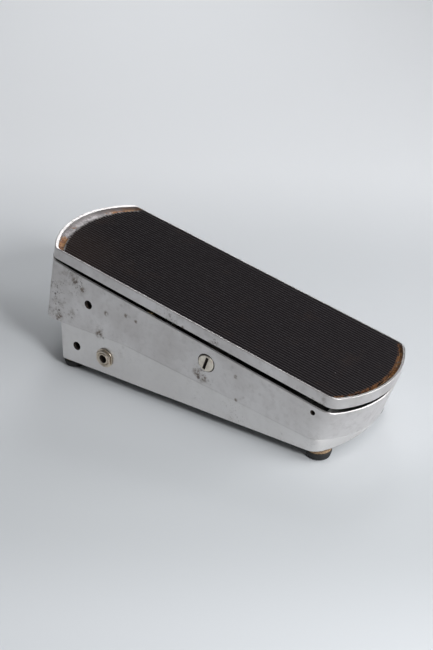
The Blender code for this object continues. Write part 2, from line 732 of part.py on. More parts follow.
def smooth_route(points, count):
    """A smooth curve through the given points, sampled evenly in its parameter."""
    ends = [2 * points[0] - points[1]] + points + [2 * points[-1] - points[-2]]
    route = []
    for i in range(count + 1):
        t = (len(points) - 1) * i / count
        k = min(int(t), len(points) - 2)
        f = t - k
        a, b, c, d = ends[k : k + 4]
        route.append(
            0.5 * (2 * b + (c - a) * f + (2 * a - 5 * b + 4 * c - d) * f**2 + (3 * b - a - 3 * c + d) * f**3)
        )
    return route


def wire(name, points, surface):
    curve = bpy.data.curves.new(name, "CURVE")
    curve.dimensions = "3D"
    curve.bevel_depth = 0.6 * MM
    curve.bevel_resolution = 1
    curve.use_fill_caps = True
    route = smooth_route([Vector(p) for p in points], 18)
    spline = curve.splines.new("POLY")
    spline.points.add(len(route) - 1)
    for point, place in zip(spline.points, route):
        point.co = (*(place * MM), 1.0)
    curve.materials.append(surface)
    bpy.context.collection.objects.link(bpy.data.objects.new(name, curve))


def wires(surface):
    x, z = JACK
    lug = PINION.z - POT_RADIUS - 8.2
    near = [(x, -20, z - 6), (x - 5, -13, z - 8), (-79.5, 0, 14), (-80, 11, 14.5), (-76, 17, 16)]
    near.append((-67.7, 13.6, lug))
    far = [(x, 22, z - 6.5), (x + 1, 25.5, z - 8.5), (-64, 25, 16), (-61.7, 19, 17), (-61.7, 13.6, lug)]
    wire("wire_near", near, surface)
    wire("wire_far", far, surface)


# ---- the whole pedal ----------------------------------------------------------------------------


def build():
    clear_scene()
    aluminium = material("polished_aluminium", (0.62, 0.62, 0.61), 0.35, 1.0)
    rubber = material("mat_rubber", (0.035, 0.03, 0.028), 0.75)
    foot_rubber = material("foot_rubber", (0.02, 0.02, 0.02), 0.7)
    steel = material("zinc_steel", (0.5, 0.5, 0.48), 0.4, 1.0)
    nickel = material("aged_nickel", (0.68, 0.63, 0.54), 0.3, 1.0)
    brass = material("brass", (0.7, 0.52, 0.25), 0.35, 1.0)
    fibre = material("tan_fibre", (0.36, 0.24, 0.13), 0.85)
    bakelite = material("brown_bakelite", (0.16, 0.07, 0.03), 0.5)
    nylon = material("natural_nylon", (0.75, 0.73, 0.66), 0.5)
    insulation = material("cloth_insulation", (0.05, 0.05, 0.05), 0.8)

    treadle_axis = axis_empty("treadle_axis", HINGE)
    pinion_axis = axis_empty("pinion_axis", PINION)
    roller_axis = axis_empty("roller_axis", ROLLER)

    body_casting(aluminium)
    bottom_cover(steel)
    feet(foot_rubber, fibre, steel)
    treadle_casting(aluminium, treadle_axis)
    mat(rubber, treadle_axis)
    hinge_pin(steel)
    tension_parts(steel, fibre, treadle_axis)
    rack(steel, treadle_axis)
    pinion(brass, pinion_axis)
    pot_shaft(steel, pinion_axis)
    potentiometer(steel, brass, bakelite)
    pot_bracket(steel)
    guide_roller(nylon, steel, roller_axis)
    jack("near", -1, nickel, brass, bakelite)
    jack("far", 1, nickel, brass, bakelite)
    wires(insulation)


build()
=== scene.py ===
"""Looks of the foot volume pedal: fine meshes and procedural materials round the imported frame.

Lengths are in millimetres, as in the CAD source, and are scaled to metres when each mesh is made.
"""
import json
import math
from collections import namedtuple

import bmesh
import bpy
from mathutils import Matrix, Vector, noise


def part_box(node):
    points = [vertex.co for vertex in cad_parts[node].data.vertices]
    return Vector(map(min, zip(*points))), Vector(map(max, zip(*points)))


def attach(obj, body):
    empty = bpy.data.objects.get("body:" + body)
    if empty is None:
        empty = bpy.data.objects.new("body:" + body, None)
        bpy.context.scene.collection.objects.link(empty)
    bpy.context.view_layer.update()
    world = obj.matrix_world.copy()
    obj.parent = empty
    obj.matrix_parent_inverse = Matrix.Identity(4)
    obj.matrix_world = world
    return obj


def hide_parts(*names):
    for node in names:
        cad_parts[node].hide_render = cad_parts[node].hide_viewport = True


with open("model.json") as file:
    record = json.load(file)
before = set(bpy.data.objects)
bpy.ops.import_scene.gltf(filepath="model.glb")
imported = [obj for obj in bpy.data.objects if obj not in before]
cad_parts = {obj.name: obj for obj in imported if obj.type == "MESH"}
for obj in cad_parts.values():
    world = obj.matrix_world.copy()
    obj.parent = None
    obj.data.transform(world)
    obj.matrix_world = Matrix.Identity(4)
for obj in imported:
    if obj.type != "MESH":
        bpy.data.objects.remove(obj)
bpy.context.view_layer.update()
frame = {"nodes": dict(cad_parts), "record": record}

MM = 0.001

# Places read from the frame
JOINTS = {joint["name"]: joint for joint in frame["record"]["behaviour"]["joints"]}
HINGE = Vector(JOINTS["treadle_rock"]["pos_m"]) / MM
UNDERSIDE = (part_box("body_casting")[0] / MM).z

# Shape of the treadle, in its own tilted plane: u towards the heel and w up, from the hinge pin
TILT = math.radians(10.36)
TREADLE_BOTTOM = 10.15
TREADLE_TOP = 19.15
TRAY_FLOOR = 15.15
TREADLE_UNDERSIDE = 12.15
TRAY_FLOOR_INSETS = (12.0, 9.0, 7.0, 5.5, 4.2, 3.0, 1.9, 0.9, 0.3)
TRAY_LIP, TREADLE_EDGE, TREADLE_FOOT = 0.2, 0.6, 0.5
TREADLE_WAVE_HEIGHT, TREADLE_WAVE_SIZE = 0.07, 30.0
LUMP_HEIGHT, LUMP_SIZE, FINE_LUMP_SIZE = 0.5, 2.6, 0.9
EAR_SPAN = (30.0, 36.0)
EAR_HALF_LENGTH, EAR_RADIUS, EAR_BORE = 10.5, 5.4, 1.8
MAT_TOP = 18.2
RIB_COUNT = 36
RIB_DEPTH = 0.85
POINTS_PER_RIB, MAT_ROWS = 10, 34
RAGGED_LENGTH, RAGGED_SIZE, END_WEAR = 0.25, 1.7, 0.35

# Shape of the body
WALL = 4.2
RIM_WALL = 1.9
GAP = 0.3
SIDE_GAP, SIDE_GAP_GROWTH = 3.6, 0.0065
TOE_WALL_END, SIDE_GAP_START = -119.5, -113.0
CREASE_FLAT, CREASE_BEND, CREASE_SLOPE = 39.85, -55.0, 0.1266
CREASE_EASE, CREASE_DROP = 6.0, 0.15
OVERHANG_CORNER = 3.6
BODY_EDGE, BODY_FOOT = 0.9, 1.2
EDGE_STEPS, WALL_STEPS, OVERHANG_STEPS, BAND_STEPS, FOOT_STEPS = 6, 6, 6, 4, 4
UPPER_HOLE, LOWER_HOLE = (-86.1, 62.9), (-99.3, 23.8)
SIDE_HOLE_RADIUS = 3.1
JACK_HOLE_RADIUS = 5.1
PIN_HOLE_RADIUS = 1.75
PIN_BOSS_RADIUS, SCREW_BOSS_RADIUS, FOOT_BOSS_RADIUS = 5.5, 9.6, 4.5
PIN_BOSS_SPAN, SCREW_BOSS_SPAN = (38.6, 44.0), (42.4, 44.2)
FACE_AT_UPPER_HOLE, FACE_AT_BAND, FACE_AT_PIN = 47.2, 47.3, 47.35
BODY_WAVE_HEIGHT, BODY_WAVE_SIZE = 0.12, 34.0
FOOT_SCREW_HOLE_RADIUS = 2.1
COUNTERBORE_RADIUS, COUNTERBORE_FLOOR, COUNTERBORE_SHIFT = 7.25, 44.7, 0.4
SCREW_HEAD_RADIUS, SCREW_SHANK = 6.65, 4.0
SCREW_END, SCREW_SEAT, SCREW_FACE = 33.0, 45.0, 47.7
SLOT_HALF_WIDTH, SLOT_HALF_LENGTH, SLOT_DEPTH = 0.95, 5.3, 2.2
SLOT_LEAN = math.radians(20.0)

# Sections turned about an upright axis, as (radius, height)
FOOT_SECTION = [(4.2, 0), (7.1, 0), (8.0, 0.8), (8.8, 3.0), (9.3, 5.3)]
FOOT_SECTION += [(8.9, 6.0), (2.1, 6.0), (2.1, 3.6), (4.2, 3.6)]
FIBRE_RING_SECTION = [(2.3, 6.3), (9.0, 6.3), (9.0, 8.2), (2.3, 8.2)]

# Phone jacks, as radii and as distances out from the centre plane
JACK_BORE, JACK_THREAD = 3.25, 4.75
JACK_FLANGE_RADIUS, JACK_FLANGE = 8.0, (41.3, 42.7)
THREAD_START, THREAD_LENGTH, THREAD_TURNS = 48.4, 1.4, 8
NUT_CORNER, NUT_SPAN, NUT_STEPS = 7.3, (48.6, 50.0), 96
WASHER_RADIUS, WASHER_SPAN = 7.6, (47.7, 48.35)
CONTACT_ARM_SPAN = (27.0, 41.8)

# Where the castings are pitted and stained: (x, z, reach) on the side walls
BODY_STAINS = [(-102, 77, 19), (-118, 66, 15), (-119, 48, 14), (-107, 53, 14)]
BODY_STAINS += [(-77, 42, 8), (17, 38, 10)]
BODY_SPOTS = [(-69, 61, 3.0), (-50, 65, 2.6), (-41, 63, 2.2), (-77, 41.5, 5.5)]
BODY_SPOTS += [(48, 47, 2.3), (48, 28, 1.9), (54, 58, 2.0), (14, 39, 5.5)]
BODY_SPOTS += [(20, 36, 4.5), (-98, 79, 5.0), (-91, 74, 4.0), (-116, 44, 5.0)]
# The treadle's toe place reaches wide, so its stain also darkens the toe rim: stain and painted
# shade over the rim's highlight.
TREADLE_STAINS = [(-141, 94, 18), (-60, 83, 6), (30, 68, 8), (118, 52, 10)]
TREADLE_SPOTS = [(-131, 93, 2.5), (2, 72, 2.0)]

# Stage, with its size in metres
FLOOR_HALF_SIZE = 6.0
SKY_COLOUR, SKY_STRENGTH = (0.955, 0.975, 1.0, 1.0), 0.055
LIGHT_COLOUR = (0.975, 0.985, 1.0)

# Camera, at the photograph's viewing angle
VIEW_AZIMUTH, VIEW_ELEVATION = math.radians(35.86), math.radians(28.45)
VIEW_DISTANCE = 1134.8
VIEW_AIM = Vector((-2.85, 0.0, 51.6))
LENS, SENSOR_WIDTH = 85.0, 36.0

# How finely the outlines are divided, and the angle in degrees beyond which an edge stays sharp
ARC_STEPS, CORNER_STEPS = 36, 9
BODY_STATIONS = [-96.0 + 12.0 * i for i in range(17)]
TREADLE_STATIONS = [-225.0 + 12.0 * i for i in range(20)]
SHARP_ANGLE = 35

SIDES = ((-1, "near"), (1, "far"))

Outline = namedtuple(
    "Outline", "half_width toe toe_radius toe_corner heel heel_radius heel_corner"
)

BODY_TOP = Outline(47.5, -135.9, 73.0, 4.5, 141.3, 78.0, 13.0)
BODY_SHOULDER = Outline(46.96, -144.5, 73.0, 4.5, 133.8, 66.0, 13.0)
BODY_WAIST = Outline(46.72, -144.9, 73.0, 4.5, 132.3, 63.9, 13.0)
BAND_TOP = Outline(46.95, -131.5, 73.0, 3.5, 132.6, 64.0, 13.0)
BAND_BOTTOM = Outline(47.6, -131.5, 73.0, 3.5, 128.3, 92.0, 12.0)
RIM = Outline(47.5, -253.5, 72.3, 6.0, 29.8, 76.6, 11.0)
TRAY = Outline(46.5, -250.6, 70.0, 4.5, 28.1, 75.0, 9.0)
SKIRT = Outline(43.9, -249.9, 68.7, 4.0, 26.2, 73.0, 8.0)
MAT = Outline(46.1, -243.8, 77.6, 0.8, 24.5, 79.7, 1.2)


# ---- outlines and lofts -------------------------------------------------------------------------


def inset(outline, by):
    """The same outline moved inwards by a distance."""
    return Outline(
        outline.half_width - by,
        outline.toe + by,
        outline.toe_radius - by,
        max(outline.toe_corner - by, 0.6),
        outline.heel - by,
        outline.heel_radius - by,
        max(outline.heel_corner - by, 0.6),
    )


def between(a, b, share):
    """An outline part of the way from a to b."""
    return Outline(*(p + (q - p) * share for p, q in zip(a, b)))


def end_points(apex, radius, corner, half_width, outward):
    """The near half of one rounded end, from its apex on the centre line to the straight side."""
    centre = apex - outward * radius
    rise = half_width - corner
    run = math.sqrt((radius - corner) ** 2 - rise**2)
    turn = math.atan2(rise, run)
    points = []
    for step in range(ARC_STEPS + 1):
        a = turn * step / ARC_STEPS
        points.append((centre + outward * radius * math.cos(a), -radius * math.sin(a)))
    for step in range(1, CORNER_STEPS + 1):
        a = turn + (math.pi / 2 - turn) * step / CORNER_STEPS
        x = centre + outward * (run + corner * math.cos(a))
        points.append((x, -rise - corner * math.sin(a)))
    return points


def plan_loop(outline, stations):
    """The closed outline from above, with extra points where its sides pass the stations."""
    o = outline
    toe = end_points(o.toe, o.toe_radius, o.toe_corner, o.half_width, -1)
    heel = end_points(o.heel, o.heel_radius, o.heel_corner, o.half_width, 1)
    near = toe + [(x, -o.half_width) for x in stations] + heel[::-1]
    return near + [(x, -y) for x, y in near[-2:0:-1]]


def tilted(u, v, w):
    """A point of the treadle's own plane, in the pedal's frame."""
    x = HINGE.x + u * math.cos(TILT) + w * math.sin(TILT)
    return (x, v, HINGE.z - u * math.sin(TILT) + w * math.cos(TILT))


def treadle_level(outline, w):
    """An outline laid at a height in the treadle's own plane."""
    return [tilted(u, v, w) for u, v in plan_loop(outline, TREADLE_STATIONS)]


def body_level(outline, height):
    """An outline whose height depends on the place along the body."""
    return [(x, y, height(x)) for x, y in plan_loop(outline, BODY_STATIONS)]


def quarter_round(radius, steps):
    """(inset, drop) pairs round an edge, from its top face out to its side."""
    turns = [math.pi / 2 * i / steps for i in range(steps + 1)]
    return [(radius * (1 - math.sin(a)), radius * (1 - math.cos(a))) for a in turns]


def loft(rings, ring_closed=False):
    """A solid skinned over rings, whose last meets the first or whose two ends are capped."""
    bm = bmesh.new()
    rows = [[bm.verts.new(point) for point in ring] for ring in rings]
    pairs = list(zip(rows, rows[1:]))
    if ring_closed:
        pairs.append((rows[-1], rows[0]))
    else:
        bm.faces.new(rows[0])
        bm.faces.new(rows[-1])
    for low, high in pairs:
        for i in range(len(low)):
            j = (i + 1) % len(low)
            bm.faces.new((low[i], low[j], high[j], high[i]))
    bmesh.ops.recalc_face_normals(bm, faces=bm.faces)
    return bm


def turned(profile, steps=64):
    """A solid turned about Z from (radius, height) points; kept off the axis, it has a bore."""
    bm = bmesh.new()
    angles = [math.tau * i / steps for i in range(steps)]
    rings = []
    for radius, height in profile:
        used = angles if radius > 0 else angles[:1]
        points = [(radius * math.cos(a), radius * math.sin(a), height) for a in used]
        rings.append([bm.verts.new(point) for point in points])
    pairs = list(zip(rings, rings[1:]))
    if profile[0][0] > 0:
        pairs.append((rings[-1], rings[0]))
    for low, high in pairs:
        for i in range(steps):
            j = (i + 1) % steps
            below = (low[i % len(low)], low[j % len(low)])
            above = (high[j % len(high)], high[i % len(high)])
            bm.faces.new(list(dict.fromkeys(below + above)))
    bmesh.ops.recalc_face_normals(bm, faces=bm.faces)
    return bm


def disc(radius, low, high, steps):
    """A plain cylinder about Z."""
    return turned([(0, low), (radius, low), (radius, high), (0, high)], steps)


def rounded(profile, radius, steps=4):
    """The profile with its inner corners rounded off, apart from those on the axis."""
    points = [Vector(p) for p in profile]
    closed = profile[0][0] > 0
    out = []
    for i, here in enumerate(points):
        if not closed and i in (0, len(points) - 1):
            out.append(tuple(here))
            continue
        before, after = points[i - 1] - here, points[(i + 1) % len(points)] - here
        cut = min(radius, before.length * 0.45, after.length * 0.45)
        start, end = here + before.normalized() * cut, here + after.normalized() * cut
        for step in range(steps + 1):
            t = step / steps
            out.append(tuple(start * (1 - t) ** 2 + here * 2 * t * (1 - t) + end * t**2))
    return out


def across(bm, x, z, side):
    """Lays a turned solid across the pedal, so that its height is the distance out to one side."""
    turn = Matrix.Rotation(-side * math.pi / 2, 4, "X")
    bmesh.ops.transform(bm, matrix=Matrix.Translation((x, 0, z)) @ turn, verts=bm.verts)
    return bm


def moved(bm, x, y, z):
    bmesh.ops.translate(bm, vec=(x, y, z), verts=bm.verts)
    return bm


def dressed(bm, index):
    """Gives every face of a solid one of its object's material slots."""
    for face in bm.faces:
        face.material_index = index
    return bm


def together(*solids):
    """Several solids in one mesh."""
    whole = bmesh.new()
    for bm in solids:
        mesh = bpy.data.meshes.new("solid")
        bm.to_mesh(mesh)
        whole.from_mesh(mesh)
        bpy.data.meshes.remove(mesh)
    return whole


def prism_y(points, low, high):
    """An (x, z) polygon made solid between two values of y."""
    return loft([[(x, low, z) for x, z in points], [(x, high, z) for x, z in points]])


def wavy(bm, amount, size, chosen):
    """Moves the chosen points along their normals by smooth noise, like a hand-worked surface."""
    bm.normal_update()
    for vert in bm.verts:
        if chosen(vert.co):
            vert.co += vert.normal * amount * noise.noise(vert.co / size)


# ---- objects ------------------------------------------------------------------------------------


def raw_object(name, bm, surfaces):
    """A mesh object in metres, with its material slots."""
    bmesh.ops.scale(bm, vec=(MM, MM, MM), verts=bm.verts)
    mesh = bpy.data.meshes.new(name)
    bm.to_mesh(mesh)
    bm.free()
    for surface in surfaces:
        mesh.materials.append(surface)
    obj = bpy.data.objects.new(name, mesh)
    bpy.context.collection.objects.link(obj)
    return obj


def carve(obj, bm, operation="DIFFERENCE"):
    """Cuts the solid out of the object, or joins it on, and keeps only the result."""
    tool = raw_object("tool", bm, obj.data.materials[:])
    modifier = obj.modifiers.new("Boolean", "BOOLEAN")
    modifier.operation = operation
    modifier.solver = "EXACT"
    modifier.object = tool
    depsgraph = bpy.context.evaluated_depsgraph_get()
    result = bpy.data.meshes.new_from_object(obj.evaluated_get(depsgraph))
    obj.modifiers.clear()
    obj.data = result
    bpy.data.objects.remove(tool)


def smooth(obj, angle, weighted=False):
    """Smooth shading, with edges kept sharp where they turn by more than an angle in degrees."""
    obj.data.shade_smooth()
    obj.data.set_sharp_from_angle(angle=math.radians(angle))
    if weighted:
        modifier = obj.modifiers.new("Weighted normals", "WEIGHTED_NORMAL")
        modifier.keep_sharp = True


def piece(name, bm, surface, body, replaced, angle):
    """A finished piece that rides on a body and stands for CAD nodes."""
    obj = raw_object(name, bm, [surface])
    smooth(obj, angle)
    finish_piece(obj, body, replaced)
    return obj


def finish_piece(obj, body, replaced):
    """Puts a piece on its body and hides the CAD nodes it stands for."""
    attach(obj, body)
    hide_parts(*replaced)


# ---- materials ----------------------------------------------------------------------------------


class Paint:
    """A Principled material and short ways to add nodes to it."""

    def __init__(self, name):
        self.material = bpy.data.materials.new(name)
        self.material.use_nodes = True
        self.tree = self.material.node_tree
        self.shader = self.tree.nodes["Principled BSDF"]
        self.place = self.node("ShaderNodeTexCoord").outputs["Object"]

    def node(self, kind, inputs=None, **settings):
        made = self.tree.nodes.new(kind)
        for key, value in settings.items():
            setattr(made, key, value)
        for key, value in (inputs or {}).items():
            self.put(made.inputs[key], value)
        return made

    def put(self, socket, value):
        if isinstance(value, bpy.types.NodeSocket):
            self.tree.links.new(value, socket)
        elif hasattr(value, "__len__") and len(value) == 3 and socket.type == "RGBA":
            socket.default_value = (*value, 1.0)
        else:
            socket.default_value = value

    def stretched(self, scale):
        """The object's coordinates, stretched by a scale on each axis."""
        return self.node("ShaderNodeMapping", {"Vector": self.place, "Scale": scale}).outputs[0]

    def noise(self, scale, detail=3.0, roughness=0.5, at=None):
        inputs = {"Vector": at or self.place, "Scale": scale}
        inputs |= {"Detail": detail, "Roughness": roughness}
        return self.node("ShaderNodeTexNoise", inputs).outputs["Fac"]

    def cells(self, scale):
        """Distance to the nearest of scattered points, and a random colour for each."""
        made = self.node("ShaderNodeTexVoronoi", {"Vector": self.place, "Scale": scale})
        return made.outputs["Distance"], made.outputs["Color"]

    def ramp(self, value, low, high, out_low=0.0, out_high=1.0):
        """A smooth step from low to high."""
        inputs = {"Value": value, "From Min": low, "From Max": high}
        inputs |= {"To Min": out_low, "To Max": out_high}
        made = self.node("ShaderNodeMapRange", inputs, interpolation_type="SMOOTHSTEP")
        return made.outputs[0]

    def calc(self, operation, a, b=0.0):
        return self.node("ShaderNodeMath", {0: a, 1: b}, operation=operation).outputs[0]

    def times(self, a, b):
        return self.calc("MULTIPLY", a, b)

    def plus(self, a, b):
        return self.calc("ADD", a, b)

    def minus(self, a, b):
        return self.calc("SUBTRACT", a, b)

    def larger(self, a, b):
        return self.calc("MAXIMUM", a, b)

    def measure(self, operation, a, b):
        """A number made from two vectors, such as their distance."""
        made = self.node("ShaderNodeVectorMath", {0: a, 1: b}, operation=operation)
        return made.outputs["Value"]

    def mix(self, factor, a, b):
        made = self.node("ShaderNodeMix", data_type="RGBA")
        self.put(made.inputs[0], factor)
        self.put(made.inputs[6], a)
        self.put(made.inputs[7], b)
        return made.outputs[2]

    def bump(self, height, distance, strength, over=None):
        inputs = {"Height": height, "Distance": distance, "Strength": strength}
        if over:
            inputs["Normal"] = over
        return self.node("ShaderNodeBump", inputs).outputs[0]

    def axis(self, name):
        return self.node("ShaderNodeSeparateXYZ", {0: self.place}).outputs[name]

    def set(self, **inputs):
        for key, value in inputs.items():
            self.put(self.shader.inputs[key.replace("_", " ")], value)
        return self.material


def pits(paint, scale, size, share, clusters):
    """Scattered round pits, in a share of the cells and only where the clusters are."""
    distance, colour = paint.cells(scale)
    red = paint.node("ShaderNodeSeparateColor", {0: colour}).outputs[0]
    chosen = paint.ramp(red, 1 - share, 1 - share + 0.02)
    hollow = paint.ramp(distance, size, size * 1.7, 1.0, 0.0)
    return paint.times(paint.times(hollow, chosen), clusters)


def near_places(paint, places):
    """1 close to any of the given (x, z, reach) places on the side walls, fading to 0."""
    total = None
    spot = paint.stretched((1.0, 0.0, 1.0))
    for x, z, reach in places:
        away = paint.measure("DISTANCE", spot, (x * MM, 0, z * MM))
        near = paint.ramp(away, 0.2 * reach * MM, reach * MM, 1.0, 0.0)
        total = paint.larger(total, near) if total else near
    return total


def below_crease(paint):
    """1 on the band below the crease in the body's side, and 0 above it: the mask for the band's
    painted light.
    """
    past = paint.larger(paint.minus(paint.axis("X"), CREASE_BEND * MM), 0.0)
    line = paint.minus(CREASE_FLAT * MM, paint.times(past, CREASE_SLOPE))
    return paint.ramp(paint.minus(line, paint.axis("Z")), -0.0002, 0.0008)


def cast_aluminium(name, stains, spots):
    """Old hand-polished aluminium: satin, cloudy, pitted and stained in clusters, with painted
    light on the band below the crease.
    """
    cloudy, polished, mottled = (0.63, 0.605, 0.595), (0.745, 0.725, 0.72), (0.50, 0.475, 0.46)
    band_painted_light, brown, pit_dirt = (0.83, 0.815, 0.80), (0.21, 0.165, 0.13), (0.10, 0.075, 0.06)
    p = Paint(name)
    cloud = p.noise(22, 4, 0.6)
    mottle = p.noise(170, 4, 0.65)
    patches = p.times(p.ramp(p.noise(26, 2), 0.58, 0.74), 0.45)
    clusters = p.larger(patches, near_places(p, stains))
    ragged = p.times(clusters, p.ramp(p.noise(90, 4, 0.7), 0.42, 0.58))
    small = pits(p, 640, 0.26, 0.42, ragged)
    middle = pits(p, 330, 0.24, 0.22, ragged)
    large = pits(p, 130, 0.13, 0.15, p.larger(clusters, 0.12))
    pit = p.larger(p.larger(p.times(small, 0.7), middle), large)
    film = p.times(p.ramp(p.noise(150, 6, 0.75), 0.48, 0.66), clusters)
    spot = p.times(near_places(p, spots), p.ramp(p.noise(420, 4, 0.7), 0.38, 0.56))
    stain = p.larger(p.times(film, 0.5), p.times(spot, 0.85))
    grain = p.noise(1.0, 3, 0.7, at=p.stretched((90, 1500, 1500)))
    band = below_crease(p)

    colour = p.mix(p.ramp(cloud, 0.35, 0.68), cloudy, polished)
    colour = p.mix(p.times(p.ramp(mottle, 0.45, 0.75), 0.35), colour, mottled)
    # Painted light: the band below the crease is painted lighter, standing in for the light it
    # catches by facing slightly upwards.
    colour = p.mix(p.times(band, 0.6), colour, band_painted_light)
    colour = p.mix(stain, colour, brown)
    colour = p.mix(p.times(pit, 0.85), colour, pit_dirt)
    rough = p.plus(p.ramp(mottle, 0.3, 0.8, 0.36, 0.48), p.times(pit, 0.35))
    rough = p.plus(rough, p.times(stain, 0.2))
    wave = p.bump(p.noise(45, 2), 0.0012, 0.25)
    fine = p.bump(p.plus(grain, p.noise(900, 3)), 0.00004, 0.6, over=wave)
    sunk = p.bump(p.times(pit, -1.0), 0.0003, 0.8, over=fine)
    metal = p.ramp(pit, 0.0, 1.0, 1.0, 0.35)
    return p.set(Base_Color=colour, Roughness=rough, Metallic=metal, Normal=sunk)


def tray_residue():
    """The tray's floor where the mat has shrunk back: old glue, oxide and rust-coloured dirt."""
    oxide, chalky_oxide = (0.24, 0.225, 0.23), (0.50, 0.475, 0.48)
    glue, chalky_glue = (0.13, 0.08, 0.05), (0.34, 0.25, 0.19)
    dark_rust, light_rust = (0.17, 0.06, 0.02), (0.42, 0.21, 0.07)
    p = Paint("tray_residue")
    chalk = p.ramp(p.noise(260, 4, 0.7), 0.42, 0.62)
    heelward = p.ramp(p.axis("X"), 0.05, 0.10)
    sideways = p.ramp(p.calc("ABSOLUTE", p.axis("Y")), 0.012, 0.036)
    threshold = p.minus(0.60, p.times(p.larger(sideways, heelward), 0.17))
    rust = p.ramp(p.minus(p.noise(95, 5, 0.7), threshold), -0.04, 0.04)
    base = p.mix(chalk, oxide, chalky_oxide)
    base = p.mix(heelward, base, p.mix(chalk, glue, chalky_glue))
    orange = p.mix(p.ramp(p.noise(330, 4, 0.7), 0.4, 0.6), dark_rust, light_rust)
    colour = p.mix(p.times(rust, 0.9), base, orange)
    height = p.plus(rust, p.times(chalk, 0.6))
    lumps = p.bump(height, 0.0004, 0.8)
    return p.set(Base_Color=colour, Roughness=0.75, Metallic=0.15, Normal=lumps)


def end_edge(paint, apex, radius, outward, width):
    """1 along one end arc of the mat, fading to 0 within a width."""
    flat = (1 / math.cos(TILT), 1.0, 0.0)
    centre = Vector(tilted(apex - outward * radius, 0.0, MAT_TOP)) * MM
    spot = paint.stretched(flat)
    away = paint.measure("DISTANCE", spot, tuple(centre * Vector(flat)))
    side = paint.times(paint.minus(paint.axis("X"), centre.x), outward)
    ring = paint.ramp(away, (radius - width) * MM, (radius - 0.3 * width) * MM)
    return paint.times(ring, paint.ramp(side, 0.0, 0.01))


def ribbed_rubber():
    """Hard black rubber, greyed on the ribs' crowns by wear and a painted sheen, with painted
    shade and brown dust in the grooves.
    """
    groove, rib = (0.0016, 0.0013, 0.0014), (0.029, 0.0245, 0.027)
    brown_dust, rust_brown = (0.045, 0.025, 0.014), (0.17, 0.078, 0.034)
    grey_speck, painted_highlight_grey = (0.4, 0.38, 0.36), (0.30, 0.28, 0.27)
    p = Paint("ribbed_rubber")
    crown = p.node("ShaderNodeAttribute", attribute_name="rib_height").outputs["Fac"]
    dust = p.ramp(p.noise(30, 5, 0.7), 0.52, 0.78)
    corner = tuple(Vector(tilted(MAT.toe + 12, -MAT.half_width, MAT_TOP)) * MM)
    away = p.measure("DISTANCE", p.place, corner)
    dust = p.larger(dust, p.ramp(away, 0.015, 0.06, 0.9, 0.0))
    speck_distance, _ = p.cells(150)
    specks = p.ramp(speck_distance, 0.02, 0.05, 1.0, 0.0)
    speck_patch = p.ramp(p.noise(60, 2), 0.6, 0.62)
    # Painted sheen and shade: crowns lighter partly from wear and partly as a painted sheen,
    # grooves near black as painted shade.
    colour = p.mix(p.ramp(crown, 0.35, 0.95), groove, rib)
    brown = p.times(dust, p.ramp(crown, 0.2, 0.8, 0.5, 0.06))
    colour = p.mix(brown, colour, brown_dust)
    colour = p.mix(p.times(p.times(specks, speck_patch), 0.7), colour, grey_speck)
    crumb = p.ramp(p.noise(300, 4, 0.7), 0.36, 0.6)
    rust = p.times(end_edge(p, MAT.heel, MAT.heel_radius, 1, 1.7), crumb)
    colour = p.mix(p.times(rust, 0.85), colour, rust_brown)
    # Painted highlight: the ribs' cut ends along the toe arc are painted light grey, broken up by
    # noise.
    toe_end_highlight = p.times(end_edge(p, MAT.toe, MAT.toe_radius, -1, 1.4), crumb)
    colour = p.mix(p.times(toe_end_highlight, 0.8), colour, painted_highlight_grey)
    rough = p.ramp(p.noise(200, 3), 0.3, 0.7, 0.5, 0.68)
    p.set(Base_Color=colour, Roughness=rough, Specular_IOR_Level=0.14)
    return p.set(Normal=p.bump(p.noise(1500, 3), 0.00005, 0.6))


def rough_casting_painted_shade():
    """The unpolished inside of the castings: dull and lumpy, painted very dark as painted shade,
    darker still in noisy patches.
    """
    p = Paint("rough_casting_painted_shade")
    lumps = p.noise(420, 5, 0.7)
    dirt_and_shade = p.ramp(p.noise(38, 4, 0.6), 0.35, 0.7)
    # Painted shade: both tones are far darker than raw aluminium, standing in for the shade inside
    # the hollow castings.
    colour = p.mix(dirt_and_shade, (0.10, 0.098, 0.095), (0.04, 0.037, 0.034))
    height = p.bump(lumps, 0.0005, 0.7)
    return p.set(Base_Color=colour, Roughness=0.8, Metallic=0.4, Normal=height)


def bore_dirt_and_shade():
    """Screw slots, drilled holes and counterbores: old dirt and painted shade, near black."""
    p = Paint("bore_dirt_and_shade")
    # Painted shade: the near-black tones stand in for the shade deep in slots, holes, counterbores
    # and the jack's bore.
    colour = p.mix(p.ramp(p.noise(500, 3), 0.4, 0.7), (0.012, 0.009, 0.007), (0.045, 0.03, 0.02))
    return p.set(Base_Color=colour, Roughness=0.85, Normal=p.bump(p.noise(900, 3), 0.0001, 0.6))


def foot_rubber():
    """Black rubber, dusty and worn."""
    p = Paint("foot_rubber_worn")
    dust = p.ramp(p.noise(140, 5, 0.65), 0.45, 0.75)
    colour = p.mix(p.times(dust, 0.5), (0.014, 0.014, 0.014), (0.06, 0.056, 0.052))
    return p.set(Base_Color=colour, Roughness=0.72, Normal=p.bump(p.noise(900, 4), 0.0001, 0.5))


def pressed_fibre():
    """Tan fibre with darker flecks and rust stains from the screw."""
    p = Paint("pressed_fibre")
    fleck = p.ramp(p.noise(700, 5, 0.75), 0.4, 0.65)
    stain = p.ramp(p.noise(110, 3), 0.48, 0.66)
    colour = p.mix(fleck, (0.20, 0.125, 0.065), (0.42, 0.30, 0.185))
    colour = p.mix(p.times(stain, 0.6), colour, (0.16, 0.085, 0.04))
    return p.set(Base_Color=colour, Roughness=0.88, Normal=p.bump(fleck, 0.00025, 0.8))


